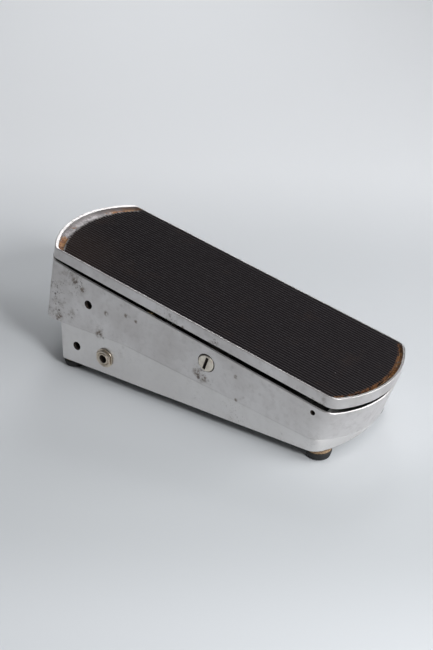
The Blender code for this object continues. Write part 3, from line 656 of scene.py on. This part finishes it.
def plated(name, light, dark, roughness, tarnish):
    """Plated metal with a cloudy tarnish and fine scratches."""
    p = Paint(name)
    cloud = p.ramp(p.noise(130, 5, 0.65), 0.42, 0.68)
    spots_distance, spots_colour = p.cells(420)
    red = p.node("ShaderNodeSeparateColor", {0: spots_colour}).outputs[0]
    spots = p.times(p.ramp(spots_distance, 0.12, 0.25, 1.0, 0.0), p.ramp(red, 0.78, 0.8))
    scratch = p.noise(1.0, 2, 0.7, at=p.stretched((200, 2600, 2600)))
    colour = p.mix(p.times(cloud, tarnish), light, dark)
    colour = p.mix(p.times(spots, tarnish), colour, (0.09, 0.06, 0.04))
    rough = p.plus(p.times(cloud, 0.15), roughness)
    rough = p.plus(rough, p.times(spots, 0.3))
    p.set(Base_Color=colour, Roughness=rough, Metallic=1.0)
    return p.set(Normal=p.bump(scratch, 0.00003, 0.7))


def plain_moulded(name, light, dark, roughness):
    """Moulded plastic, fibre board or braid: a slight mottle and a fine grain."""
    p = Paint(name)
    colour = p.mix(p.ramp(p.noise(260, 4, 0.6), 0.35, 0.7), dark, light)
    rough = p.ramp(p.noise(500, 2), 0.3, 0.7, roughness - 0.06, roughness + 0.06)
    return p.set(Base_Color=colour, Roughness=rough, Normal=p.bump(p.noise(1300, 3), 0.00004, 0.5))


def floor_with_painted_light():
    """Paper with painted light and shade: a painted shadow band in front of the pedal, painted
    light nearer still and well behind it.
    """
    under_dark, under_light = (0.65, 0.67, 0.69), (0.665, 0.685, 0.705)
    # Painted light and shade: the nearest and the farthest tones are painted light, the tone in
    # front of the pedal a painted shadow band.
    nearest, painted_shade_in_front, beyond = (0.66, 0.68, 0.70), (0.565, 0.585, 0.60), (0.86, 0.875, 0.895)
    p = Paint("floor_with_painted_light")
    back = from_view(1.0, 0.1, 0.0)
    depth = p.measure("DOT_PRODUCT", p.place, tuple(back))
    grain = p.ramp(p.noise(3, 2), 0.3, 0.7)
    under = p.mix(grain, under_dark, under_light)
    front = p.mix(p.ramp(depth, -0.30, -0.18), nearest, painted_shade_in_front)
    colour = p.mix(p.ramp(depth, -0.15, 0.02), front, under)
    colour = p.mix(p.ramp(depth, 0.19, 0.45), colour, beyond)
    return p.set(Base_Color=colour, Roughness=0.7, Normal=p.bump(p.noise(400, 3), 0.0001, 0.15))


# ---- body ---------------------------------------------------------------------------------------


def treadle_plane(x):
    """Height of the treadle's lower edge at rest."""
    return HINGE.z + TREADLE_BOTTOM / math.cos(TILT) - math.tan(TILT) * (x - HINGE.x)


def body_rim(x):
    """Height of the body's top edge: close under the treadle at the toe, lower along the sides."""
    t = min(1.0, max(0.0, (x - TOE_WALL_END) / (SIDE_GAP_START - TOE_WALL_END)))
    side = t * t * (3 - 2 * t)
    return treadle_plane(x) - (1 - side) * GAP - side * (SIDE_GAP + SIDE_GAP_GROWTH * x)


def crease(x):
    """Height of the crease along the side: level at the toe, then falling to the heel."""
    past = x - CREASE_BEND
    return CREASE_FLAT - CREASE_SLOPE * 0.5 * (past + math.hypot(past, CREASE_EASE))


def raised(height, by):
    """A height function moved up."""
    return lambda x: height(x) + by


def part_way(upper, lower, share):
    """A height function part of the way down from one to another."""
    return lambda x: upper(x) * (1 - share) + lower(x) * share


def underside(_x):
    """Height of the body's bottom edge, which is level."""
    return UNDERSIDE


def body_rings():
    """The body's outlines from its top edge down the outside, then back up the inside."""
    rings = []
    for by, drop in quarter_round(BODY_EDGE, EDGE_STEPS):
        rings.append(body_level(inset(BODY_TOP, by), raised(body_rim, -drop)))
    wall_top, wall_bottom = raised(body_rim, -BODY_EDGE), raised(crease, OVERHANG_CORNER)
    for i in range(1, WALL_STEPS + 1):
        share = i / WALL_STEPS
        outline = between(BODY_TOP, BODY_SHOULDER, share)
        rings.append(body_level(outline, part_way(wall_top, wall_bottom, share)))
    for i in range(1, OVERHANG_STEPS + 1):
        a = math.pi / 2 * i / OVERHANG_STEPS
        by, drop = OVERHANG_CORNER * (1 - math.cos(a)), OVERHANG_CORNER * (1 - math.sin(a))
        outline = between(BODY_SHOULDER, BAND_TOP, i / OVERHANG_STEPS)
        outline = outline._replace(toe=BODY_WAIST.toe + by, toe_corner=BODY_WAIST.toe_corner)
        rings.append(body_level(outline, raised(crease, drop)))
    rings.append(body_level(inset(BAND_TOP, 0.1), raised(crease, -0.03)))
    band_top, band_bottom = raised(crease, -CREASE_DROP), raised(underside, BODY_FOOT)
    rings.append(body_level(BAND_TOP, band_top))
    for i in range(1, BAND_STEPS + 1):
        share = i / BAND_STEPS
        outline = between(BAND_TOP, BAND_BOTTOM, share)
        rings.append(body_level(outline, part_way(band_top, band_bottom, share)))
    for by, drop in reversed(quarter_round(BODY_FOOT, FOOT_STEPS)[:-1]):
        rings.append(body_level(inset(BAND_BOTTOM, by), raised(underside, drop)))
    rings.append(body_level(inset(BAND_BOTTOM, WALL), underside))

    inside = [
        body_level(inset(BAND_TOP, WALL + 0.2), raised(crease, WALL)),
        body_level(inset(BODY_WAIST, WALL), raised(crease, WALL)),
        body_level(inset(BODY_TOP, WALL), raised(body_rim, -6.0)),
        body_level(inset(BODY_TOP, RIM_WALL), raised(body_rim, -1.2)),
    ]
    return rings + inside, len(inside)


def flared_hole(x, z, radius, side, surface_at, flare=0.35, reach=8.0):
    """A hole through one side wall, its mouth slightly countersunk."""
    mouth, outside = radius + 2 * flare, surface_at + 4
    profile = [(0, surface_at - reach), (radius, surface_at - reach), (radius, surface_at - flare)]
    profile += [(mouth, surface_at + flare), (mouth, outside), (0, outside)]
    return across(turned(profile, 48), x, z, side)


def foot_places():
    """Centres of the four feet."""
    places = []
    for number in range(1, 5):
        low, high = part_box(f"foot_{number}")
        places.append(((low + high) / 2 / MM).to_2d())
    return places


def foot_boss(x, y, base, height):
    """A boss for a foot screw, run out into the side wall."""
    side, end, radius = math.copysign(1, y), math.copysign(1, x), FOOT_BOSS_RADIUS
    turns = [math.radians(-180 * side * i / 16) for i in range(17)]
    outline = [(x + radius * math.cos(a), y + radius * math.sin(a)) for a in turns]
    in_wall = ((-radius, 43.8), (0.3 * radius, 43.8), (radius, 41.0))
    outline += sorted((x + end * along, side * out) for along, out in in_wall)
    return loft([[(px, py, z) for px, py in outline] for z in (base, height)])


def side_centre(node):
    """Where a part on the body's side has its axis, as (x, z)."""
    low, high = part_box(node)
    centre = (low + high) / 2 / MM
    return centre.x, centre.z


def outside_wall(co):
    """Whether a point is on the body's outside, clear of its inner walls."""
    return abs(co.y) > 43.6 or co.x < -128 or co.x > 126


def counterbore():
    """The recess round a slotted screw's head, with the hole for its shank."""
    hole, start, outside = SCREW_SHANK + 0.6, 40.0, 51.0
    profile = [(0, start), (hole, start), (hole, COUNTERBORE_FLOOR)]
    profile += [(COUNTERBORE_RADIUS, COUNTERBORE_FLOOR), (COUNTERBORE_RADIUS, outside)]
    return turned(profile + [(0, outside)], 72)


def body(surface, inside, dirt_and_shade):
    """The cast body, with its holes, counterbores and inner bosses."""
    rings, inner_count = body_rings()
    bm = loft(rings, ring_closed=True)
    bm.verts.ensure_lookup_table()
    inner = set(bm.verts[(len(rings) - inner_count) * len(rings[0]) :])
    for face in bm.faces:
        face.material_index = 1 if any(vert in inner for vert in face.verts) else 0
    wavy(bm, BODY_WAVE_HEIGHT, BODY_WAVE_SIZE, outside_wall)
    made = raw_object("cast_body", bm, [surface, inside, dirt_and_shade])
    bosses = [foot_boss(x, y, UNDERSIDE + 1.6, UNDERSIDE + 12) for x, y in foot_places()]
    cuts = []
    for side, word in SIDES:
        screw_x, screw_z = side_centre(f"tension_screw_{word}")
        recess = screw_x + COUNTERBORE_SHIFT, screw_z + COUNTERBORE_SHIFT
        jack, pin = side_centre(f"jack_nut_{word}"), (HINGE.x, HINGE.z)
        bosses.append(across(disc(PIN_BOSS_RADIUS, *PIN_BOSS_SPAN, 40), *pin, side))
        screw_boss = disc(SCREW_BOSS_RADIUS, *SCREW_BOSS_SPAN, 48)
        bosses.append(across(screw_boss, screw_x, screw_z, side))
        cuts.append(flared_hole(*UPPER_HOLE, SIDE_HOLE_RADIUS, side, FACE_AT_UPPER_HOLE))
        cuts.append(flared_hole(*LOWER_HOLE, SIDE_HOLE_RADIUS, side, FACE_AT_BAND))
        cuts.append(flared_hole(*jack, JACK_HOLE_RADIUS, side, FACE_AT_BAND, 0.2))
        cuts.append(flared_hole(*pin, PIN_HOLE_RADIUS, side, FACE_AT_PIN, 0.2, 12))
        cuts.append(across(counterbore(), *recess, side))
    for x, y in foot_places():
        cuts.append(moved(disc(FOOT_SCREW_HOLE_RADIUS, 0, UNDERSIDE + 10, 24), x, y, 0))
    carve(made, dressed(together(*bosses), 1), "UNION")
    carve(made, dressed(together(*cuts), 2))
    smooth(made, SHARP_ANGLE, weighted=True)
    finish_piece(made, "root", ["body_casting"])


# ---- treadle and mat ----------------------------------------------------------------------------


def treadle_rings():
    """The treadle's outlines from its tray's floor up over the rim and down to the underside."""
    rings = [treadle_level(inset(TRAY, by), TRAY_FLOOR) for by in TRAY_FLOOR_INSETS]
    rings.append(treadle_level(inset(TRAY, 0.05), TRAY_FLOOR + 0.25))
    rings.append(treadle_level(TRAY, TRAY_FLOOR + 1.0))
    for by, drop in inner_lip(TRAY_LIP, 3):
        rings.append(treadle_level(inset(TRAY, by - TRAY_LIP), TREADLE_TOP - drop))
    for by, drop in quarter_round(TREADLE_EDGE, 5):
        rings.append(treadle_level(inset(RIM, by), TREADLE_TOP - drop))
    rings += [treadle_level(RIM, w) for w in (15.5, 13.5, 11.8, TREADLE_BOTTOM + 0.5)]
    for by, drop in quarter_round(TREADLE_FOOT, 3)[::-1][1:]:
        rings.append(treadle_level(inset(RIM, by), TREADLE_BOTTOM + drop))
    return rings + [treadle_level(SKIRT, w) for w in (TREADLE_BOTTOM, TREADLE_UNDERSIDE)]


def hinge_ear(side):
    """One of the treadle's two ears, which hang round the hinge pin."""
    top = TREADLE_UNDERSIDE + 0.8
    turns = [math.radians(190 + 160 * i / 20) for i in range(21)]
    outline = [(EAR_RADIUS * math.cos(a), EAR_RADIUS * math.sin(a)) for a in turns]
    outline = [(-EAR_HALF_LENGTH, top), *outline, (EAR_HALF_LENGTH, top)]
    return loft([[tilted(u, side * v, w) for u, w in outline] for v in EAR_SPAN])


def treadle(metal, residue, inside):
    """The treadle casting: a rim round a shallow tray, with hinge ears below."""
    rings = treadle_rings()
    bm = loft(rings)
    bm.verts.ensure_lookup_table()
    per_ring = len(rings[0])
    floor_end, below_start = len(TRAY_FLOOR_INSETS) * per_ring, -2 * per_ring
    for vert in bm.verts[:floor_end]:
        lump = noise.noise(vert.co / LUMP_SIZE) + 0.25 * noise.noise(vert.co / FINE_LUMP_SIZE)
        vert.co.z += max(0.0, lump) * LUMP_HEIGHT
    for vert in bm.verts[floor_end:below_start]:
        wave = noise.noise(vert.co / TREADLE_WAVE_SIZE)
        vert.co += vert.normal * TREADLE_WAVE_HEIGHT * wave
    tray, below = set(bm.verts[: floor_end + per_ring]), set(bm.verts[below_start:])
    for face in bm.faces:
        if tray.issuperset(face.verts):
            face.material_index = 1
        elif below.issuperset(face.verts):
            face.material_index = 2
    made = raw_object("treadle_casting", bm, [metal, residue, inside])
    carve(made, dressed(together(*(hinge_ear(side) for side, _ in SIDES)), 2), "UNION")
    carve(made, across(disc(EAR_BORE, -40, 40, 32), HINGE.x, HINGE.z, 1))
    smooth(made, SHARP_ANGLE, weighted=True)
    finish_piece(made, "treadle", ["treadle"])


def inner_lip(radius, steps):
    """(inset, drop) pairs round the tray's inner edge, from its wall up to the rim's top."""
    turns = [math.pi / 2 * i / steps for i in range(steps + 1)]
    return [(radius * math.cos(a), radius * (1 - math.sin(a))) for a in turns]


def end_reach(apex, radius, outward, v):
    """Where an end arc of the mat lies at a distance v from the centre line."""
    return apex - outward * radius + outward * math.sqrt(radius * radius - v * v)


def rib_profile(v):
    """0 in a groove and 1 on a rib's crown, at a distance v across the mat."""
    pitch = 2 * MAT.half_width / RIB_COUNT
    phase = ((v + MAT.half_width) / pitch) % 1.0
    rise = 0.5 - 0.5 * math.cos(math.tau * phase)
    return min(1.0, rise**0.8 * 1.12)


def mat(surface):
    """The ribbed mat: fine ribs run lengthwise and are cut off at the two end arcs."""
    columns, rows = RIB_COUNT * POINTS_PER_RIB, MAT_ROWS
    bm = bmesh.new()
    height = bm.verts.layers.float.new("rib_height")
    top, low = [], []
    for i in range(columns + 1):
        v = MAT.half_width * (2 * i / columns - 1)
        toe = end_reach(MAT.toe, MAT.toe_radius, -1, v)
        heel = end_reach(MAT.heel, MAT.heel_radius, 1, v)
        toe += RAGGED_LENGTH * noise.noise(Vector((v / RAGGED_SIZE, 0, 3)))
        heel += RAGGED_LENGTH * noise.noise(Vector((v / RAGGED_SIZE, 9, 3)))
        rise = rib_profile(v)
        column, under = [], []
        for j in range(rows + 1):
            u = toe + (heel - toe) * j / rows
            end = 1.0 - END_WEAR * (j in (0, rows))
            wobble = 0.05 * noise.noise(Vector((u / 18, v / 9, 0)))
            w = MAT_TOP - RIB_DEPTH * (1 - rise * end) + wobble * rise
            vert = bm.verts.new(tilted(u, v, w))
            vert[height] = rise
            column.append(vert)
            under.append(bm.verts.new(tilted(u, v, TRAY_FLOOR + GAP)))
        top.append(column)
        low.append(under)
    for sheet, turn in ((top, -1), (low, 1)):
        for a, b in zip(sheet, sheet[1:]):
            for j in range(rows):
                bm.faces.new((a[j], a[j + 1], b[j + 1], b[j])[::turn])
    for i in range(columns):
        for j, turn in ((0, -1), (rows, 1)):
            bm.faces.new((top[i][j], top[i + 1][j], low[i + 1][j], low[i][j])[::turn])
    for j in range(rows):
        for i, turn in ((0, 1), (columns, -1)):
            bm.faces.new((top[i][j], top[i][j + 1], low[i][j + 1], low[i][j])[::turn])
    bmesh.ops.recalc_face_normals(bm, faces=bm.faces)
    piece("ribbed_mat", bm, surface, "treadle", ["mat"], 50)


# ---- small visible parts ------------------------------------------------------------------------


def feet(rubber, fibre):
    """The four rubber feet, each with a fibre ring between it and the body."""
    for number, (x, y) in enumerate(foot_places(), 1):
        bm = moved(turned(rounded(FOOT_SECTION, 0.5)), x, y, 0)
        piece(f"rubber_foot_{number}", bm, rubber, "root", [f"foot_{number}"], 50)
        bm = moved(turned(rounded(FIBRE_RING_SECTION, 0.35)), x, y, 0)
        wavy(bm, 0.12, 1.6, lambda co: co.z > 6.5 and (co.xy - Vector((x, y))).length > 6)
        replaced = [f"foot_washer_{number}"]
        piece(f"fibre_ring_{number}", bm, fibre, "root", replaced, 50)


def screw_slot(x, z, side):
    """The solid that cuts a screw's slot, its mouth bevelled."""
    half, depth = SLOT_HALF_WIDTH, SLOT_DEPTH
    mouth = half + 0.3
    section = [(-half, 0.0), (half, 0.0), (half, depth - 0.25), (mouth, depth + 0.05)]
    section += [(mouth, depth + 3), (-mouth, depth + 3), (-mouth, depth + 0.05)]
    section += [(-half, depth - 0.25)]
    ends = (-SLOT_HALF_LENGTH, SLOT_HALF_LENGTH)
    slot = loft([[(a, b, end) for a, b in section] for end in ends])
    bmesh.ops.scale(slot, vec=(1, side, 1), verts=slot.verts)
    bmesh.ops.recalc_face_normals(slot, faces=slot.faces)
    place = Matrix.Translation((x, side * (SCREW_FACE - depth), z))
    lean = Matrix.Rotation(SLOT_LEAN, 4, "Y")
    bmesh.ops.transform(slot, matrix=place @ lean, verts=slot.verts)
    return slot


def tension_screws(surface, dirt_and_shade):
    """The large slotted screw on each side."""
    r, face = SCREW_HEAD_RADIUS, SCREW_FACE
    head = [(0, SCREW_END), (SCREW_SHANK, SCREW_END), (SCREW_SHANK, SCREW_SEAT), (r, SCREW_SEAT)]
    head += [(r, face - 0.55), (r - 0.5, face - 0.12), (r - 1.4, face), (0, face)]
    for side, word in SIDES:
        x, z = side_centre(f"tension_screw_{word}")
        solid = across(turned(rounded(head, 0.2, 3), 72), x, z, side)
        made = raw_object(f"slotted_screw_{word}", solid, [surface, dirt_and_shade])
        carve(made, dressed(screw_slot(x, z, side), 1))
        smooth(made, 30, weighted=True)
        finish_piece(made, "root", [f"tension_screw_{word}"])


def hexagon_radius(corner, angle):
    """How far out a hexagon's side is at an angle, given its corners' radius."""
    from_flat = (angle + math.pi / 6) % (math.pi / 3) - math.pi / 6
    return corner * math.cos(math.pi / 6) / math.cos(from_flat)


def hexagon_nut(bore, corner, low, high):
    """A hexagon nut along Z, two corners on Y, its top dressed off by a cone."""
    flat = corner * math.cos(math.pi / 6)
    angles = [math.tau * i / NUT_STEPS for i in range(NUT_STEPS)]

    def ring(radius_at, height_at):
        places = [(a, radius_at(a)) for a in angles]
        return [(r * math.cos(a), r * math.sin(a), height_at(a)) for a, r in places]

    def side_top(a):
        return high - 0.1 - max(0.0, hexagon_radius(corner, a) - flat) * 0.62

    rings = [
        ring(lambda a: bore, lambda a: low),
        ring(lambda a: hexagon_radius(corner, a) - 0.15, lambda a: low),
        ring(lambda a: hexagon_radius(corner, a), lambda a: low + 0.15),
        ring(lambda a: hexagon_radius(corner, a), lambda a: side_top(a) - 0.12),
        ring(lambda a: hexagon_radius(corner, a) - 0.12, side_top),
        ring(lambda a: flat - 0.25, lambda a: high),
        ring(lambda a: bore + 0.35, lambda a: high),
        ring(lambda a: bore, lambda a: high - 0.3),
    ]
    return loft(rings, ring_closed=True)


def jack_sleeve():
    """The jack's threaded sleeve and flange, its bore kept apart as the second material."""
    bore, thread = JACK_BORE, JACK_THREAD
    flange_back, flange_front = JACK_FLANGE
    section = [(bore, flange_back), (JACK_FLANGE_RADIUS, flange_back)]
    section += [(JACK_FLANGE_RADIUS, flange_front), (thread, flange_front)]
    for i in range(THREAD_TURNS):
        height = THREAD_START + THREAD_LENGTH * i / THREAD_TURNS
        section += [(thread, height), (thread - 0.12, height + 0.08)]
    section += [(thread - 0.1, 49.9), (thread - 0.4, 50.25)]
    section += [(bore + 0.55, 50.3), (bore + 0.1, 50.1), (bore, 49.7)]
    solid = turned(section)
    for face in solid.faces:
        middle = face.calc_center_median()
        face.material_index = 1 if middle.xy.length < bore + 0.08 and middle.z < 49.5 else 0
    return solid


def jacks(nickel, dirt_and_shade):
    """The phone jack on each side, with its hexagon nut and flat washer."""
    for side, word in SIDES:
        x, z = side_centre(f"jack_nut_{word}")
        made = raw_object(f"jack_body_{word}", across(jack_sleeve(), x, z, side), [nickel, dirt_and_shade])
        ends = sorted(side * out for out in CONTACT_ARM_SPAN)
        arm = [(x - 4, z - 8.6), (x + 4, z - 8.6), (x + 4, z - 7.2), (x - 4, z - 7.2)]
        carve(made, prism_y(arm, *ends), "UNION")
        smooth(made, 32)
        finish_piece(made, "root", [f"jack_{word}"])
        nut = across(hexagon_nut(JACK_THREAD + 0.15, NUT_CORNER, *NUT_SPAN), x, z, side)
        piece(f"jack_hex_nut_{word}", nut, nickel, "root", [f"jack_nut_{word}"], 24)
        inner, (back, front) = JACK_THREAD + 0.25, WASHER_SPAN
        ring = [(inner, back), (WASHER_RADIUS, back), (WASHER_RADIUS, front), (inner, front)]
        bm = across(turned(rounded(ring, 0.15, 3)), x, z, side)
        piece(f"jack_flat_washer_{word}", bm, nickel, "root", [f"jack_washer_{word}"], 40)


def finish_cad_nodes(by_prefix):
    """CAD nodes whose shape is right keep it, with eased edges and a material of their own."""
    for name, obj in frame["nodes"].items():
        if obj.hide_render:
            continue
        surface = next(surface for prefix, surface in by_prefix if name.startswith(prefix))
        obj.data.materials.clear()
        obj.data.materials.append(surface)
        obj.data.shade_smooth()
        weld = obj.modifiers.new("Weld", "WELD")
        weld.merge_threshold = 0.00001
        if not name.startswith("wire"):
            bevel = obj.modifiers.new("Eased edges", "BEVEL")
            bevel.width = 0.15 * MM
            bevel.segments = 2
            bevel.limit_method = "ANGLE"
            bevel.angle_limit = math.radians(SHARP_ANGLE)
            bevel.harden_normals = True


# ---- stage --------------------------------------------------------------------------------------


def floor_and_lights():
    """The paper floor, a dim sky and soft lights, with distances in metres."""
    bm = bmesh.new()
    bmesh.ops.create_grid(bm, x_segments=2, y_segments=2, size=FLOOR_HALF_SIZE / MM)
    floor = raw_object("floor", bm, [floor_with_painted_light()])

    world = bpy.data.worlds.new("studio")
    world.use_nodes = True
    background = world.node_tree.nodes["Background"]
    background.inputs["Color"].default_value = SKY_COLOUR
    background.inputs["Strength"].default_value = SKY_STRENGTH
    bpy.context.scene.world = world

    middle = Vector((0, 0, 0.03))
    softbox("key_window", round_pedal(300, 34, 1.5), middle, 0.3, 14.5, 180)
    softbox("key_window_side", round_pedal(340, 34, 1.5), middle, 0.3, 3.5, 180)
    softbox("key_window_top", round_pedal(320, 50, 1.5), middle, 0.3, 2.1, 180)
    softbox("right_reflector", round_pedal(0, 25, 1.5), middle, 0.7, 7.6, 180)
    softbox("ceiling", from_view(0.0, 0.0, 1.5), Vector((0, 0, 0)), 0.7, 4.1, 180)
    back = from_view(1.9, 0.15, 1.35)
    softbox("back_window", back, from_view(1.0, -0.2, 0.0), 0.8, 2.6, 65)


def from_view(forward, right, height):
    """A point from its distances beyond the pedal and to its right as the camera sees it."""
    ahead = Vector((-math.sin(VIEW_AZIMUTH), math.cos(VIEW_AZIMUTH), 0))
    aside = Vector((math.cos(VIEW_AZIMUTH), math.sin(VIEW_AZIMUTH), 0))
    return ahead * forward + aside * right + Vector((0, 0, height))


def round_pedal(turn, elevation, distance):
    """A point round the pedal: its turn is in degrees from the camera's right towards the back."""
    turn, elevation = math.radians(turn), math.radians(elevation)
    level, height = distance * math.cos(elevation), distance * math.sin(elevation)
    return from_view(level * math.sin(turn), level * math.cos(turn), height)


def softbox(name, place, aim, size, power, spread):
    """A square light at a place, turned to its aim, with its spread in degrees."""
    light = bpy.data.lights.new(name, "AREA")
    light.shape = "SQUARE"
    light.size = size
    light.energy = power
    light.spread = math.radians(spread)
    light.color = LIGHT_COLOUR
    obj = bpy.data.objects.new(name, light)
    obj.location = place
    obj.rotation_euler = (aim - place).to_track_quat("-Z", "Y").to_euler()
    bpy.context.collection.objects.link(obj)


def camera():
    view = bpy.data.cameras.new("camera")
    view.lens = LENS
    view.sensor_width = SENSOR_WIDTH
    view.sensor_fit = "AUTO"
    view.clip_start = 0.01
    obj = bpy.data.objects.new("camera", view)
    level = math.cos(VIEW_ELEVATION)
    away = Vector(
        (math.sin(VIEW_AZIMUTH) * level, -math.cos(VIEW_AZIMUTH) * level, math.sin(VIEW_ELEVATION))
    )
    obj.location = (VIEW_AIM + away * VIEW_DISTANCE) * MM
    obj.rotation_euler = (-away).to_track_quat("-Z", "Y").to_euler()
    bpy.context.collection.objects.link(obj)
    bpy.context.scene.camera = obj


# ---- the whole scene ----------------------------------------------------------------------------


def main():
    bpy.context.scene.view_settings.view_transform = "Standard"
    camera()
    floor_and_lights()

    casting = cast_aluminium("cast_aluminium_body", BODY_STAINS, BODY_SPOTS)
    inside, dirt_and_shade = rough_casting_painted_shade(), bore_dirt_and_shade()
    treadle_metal = cast_aluminium("cast_aluminium_treadle", TREADLE_STAINS, TREADLE_SPOTS)
    nickel = plated("aged_nickel", (0.76, 0.69, 0.59), (0.44, 0.36, 0.27), 0.28, 0.7)
    bright = plated("bright_nickel", (0.84, 0.78, 0.68), (0.56, 0.49, 0.40), 0.28, 0.5)
    steel = plated("dull_zinc", (0.46, 0.46, 0.45), (0.27, 0.26, 0.24), 0.38, 0.6)
    brass = plated("brass", (0.66, 0.49, 0.22), (0.36, 0.24, 0.11), 0.3, 0.6)
    fibre = pressed_fibre()
    bakelite = plain_moulded("brown_bakelite", (0.15, 0.07, 0.035), (0.07, 0.032, 0.018), 0.42)
    nylon = plain_moulded("natural_nylon", (0.72, 0.70, 0.62), (0.58, 0.55, 0.46), 0.5)
    braid = plain_moulded("braided_cover", (0.06, 0.055, 0.05), (0.02, 0.018, 0.018), 0.85)

    body(casting, inside, dirt_and_shade)
    treadle(treadle_metal, tray_residue(), inside)
    mat(ribbed_rubber())
    feet(foot_rubber(), fibre)
    tension_screws(bright, dirt_and_shade)
    jacks(nickel, dirt_and_shade)
    finish_cad_nodes(
        (
            ("pinion", brass),
            ("pot_nut", brass),
            ("pot_terminals", brass),
            ("jack_contact", brass),
            ("jack_insulator", bakelite),
            ("pot_wafer", bakelite),
            ("friction_washer", fibre),
            ("guide_roller", nylon),
            ("wire", braid),
            ("", steel),
        )
    )


main()
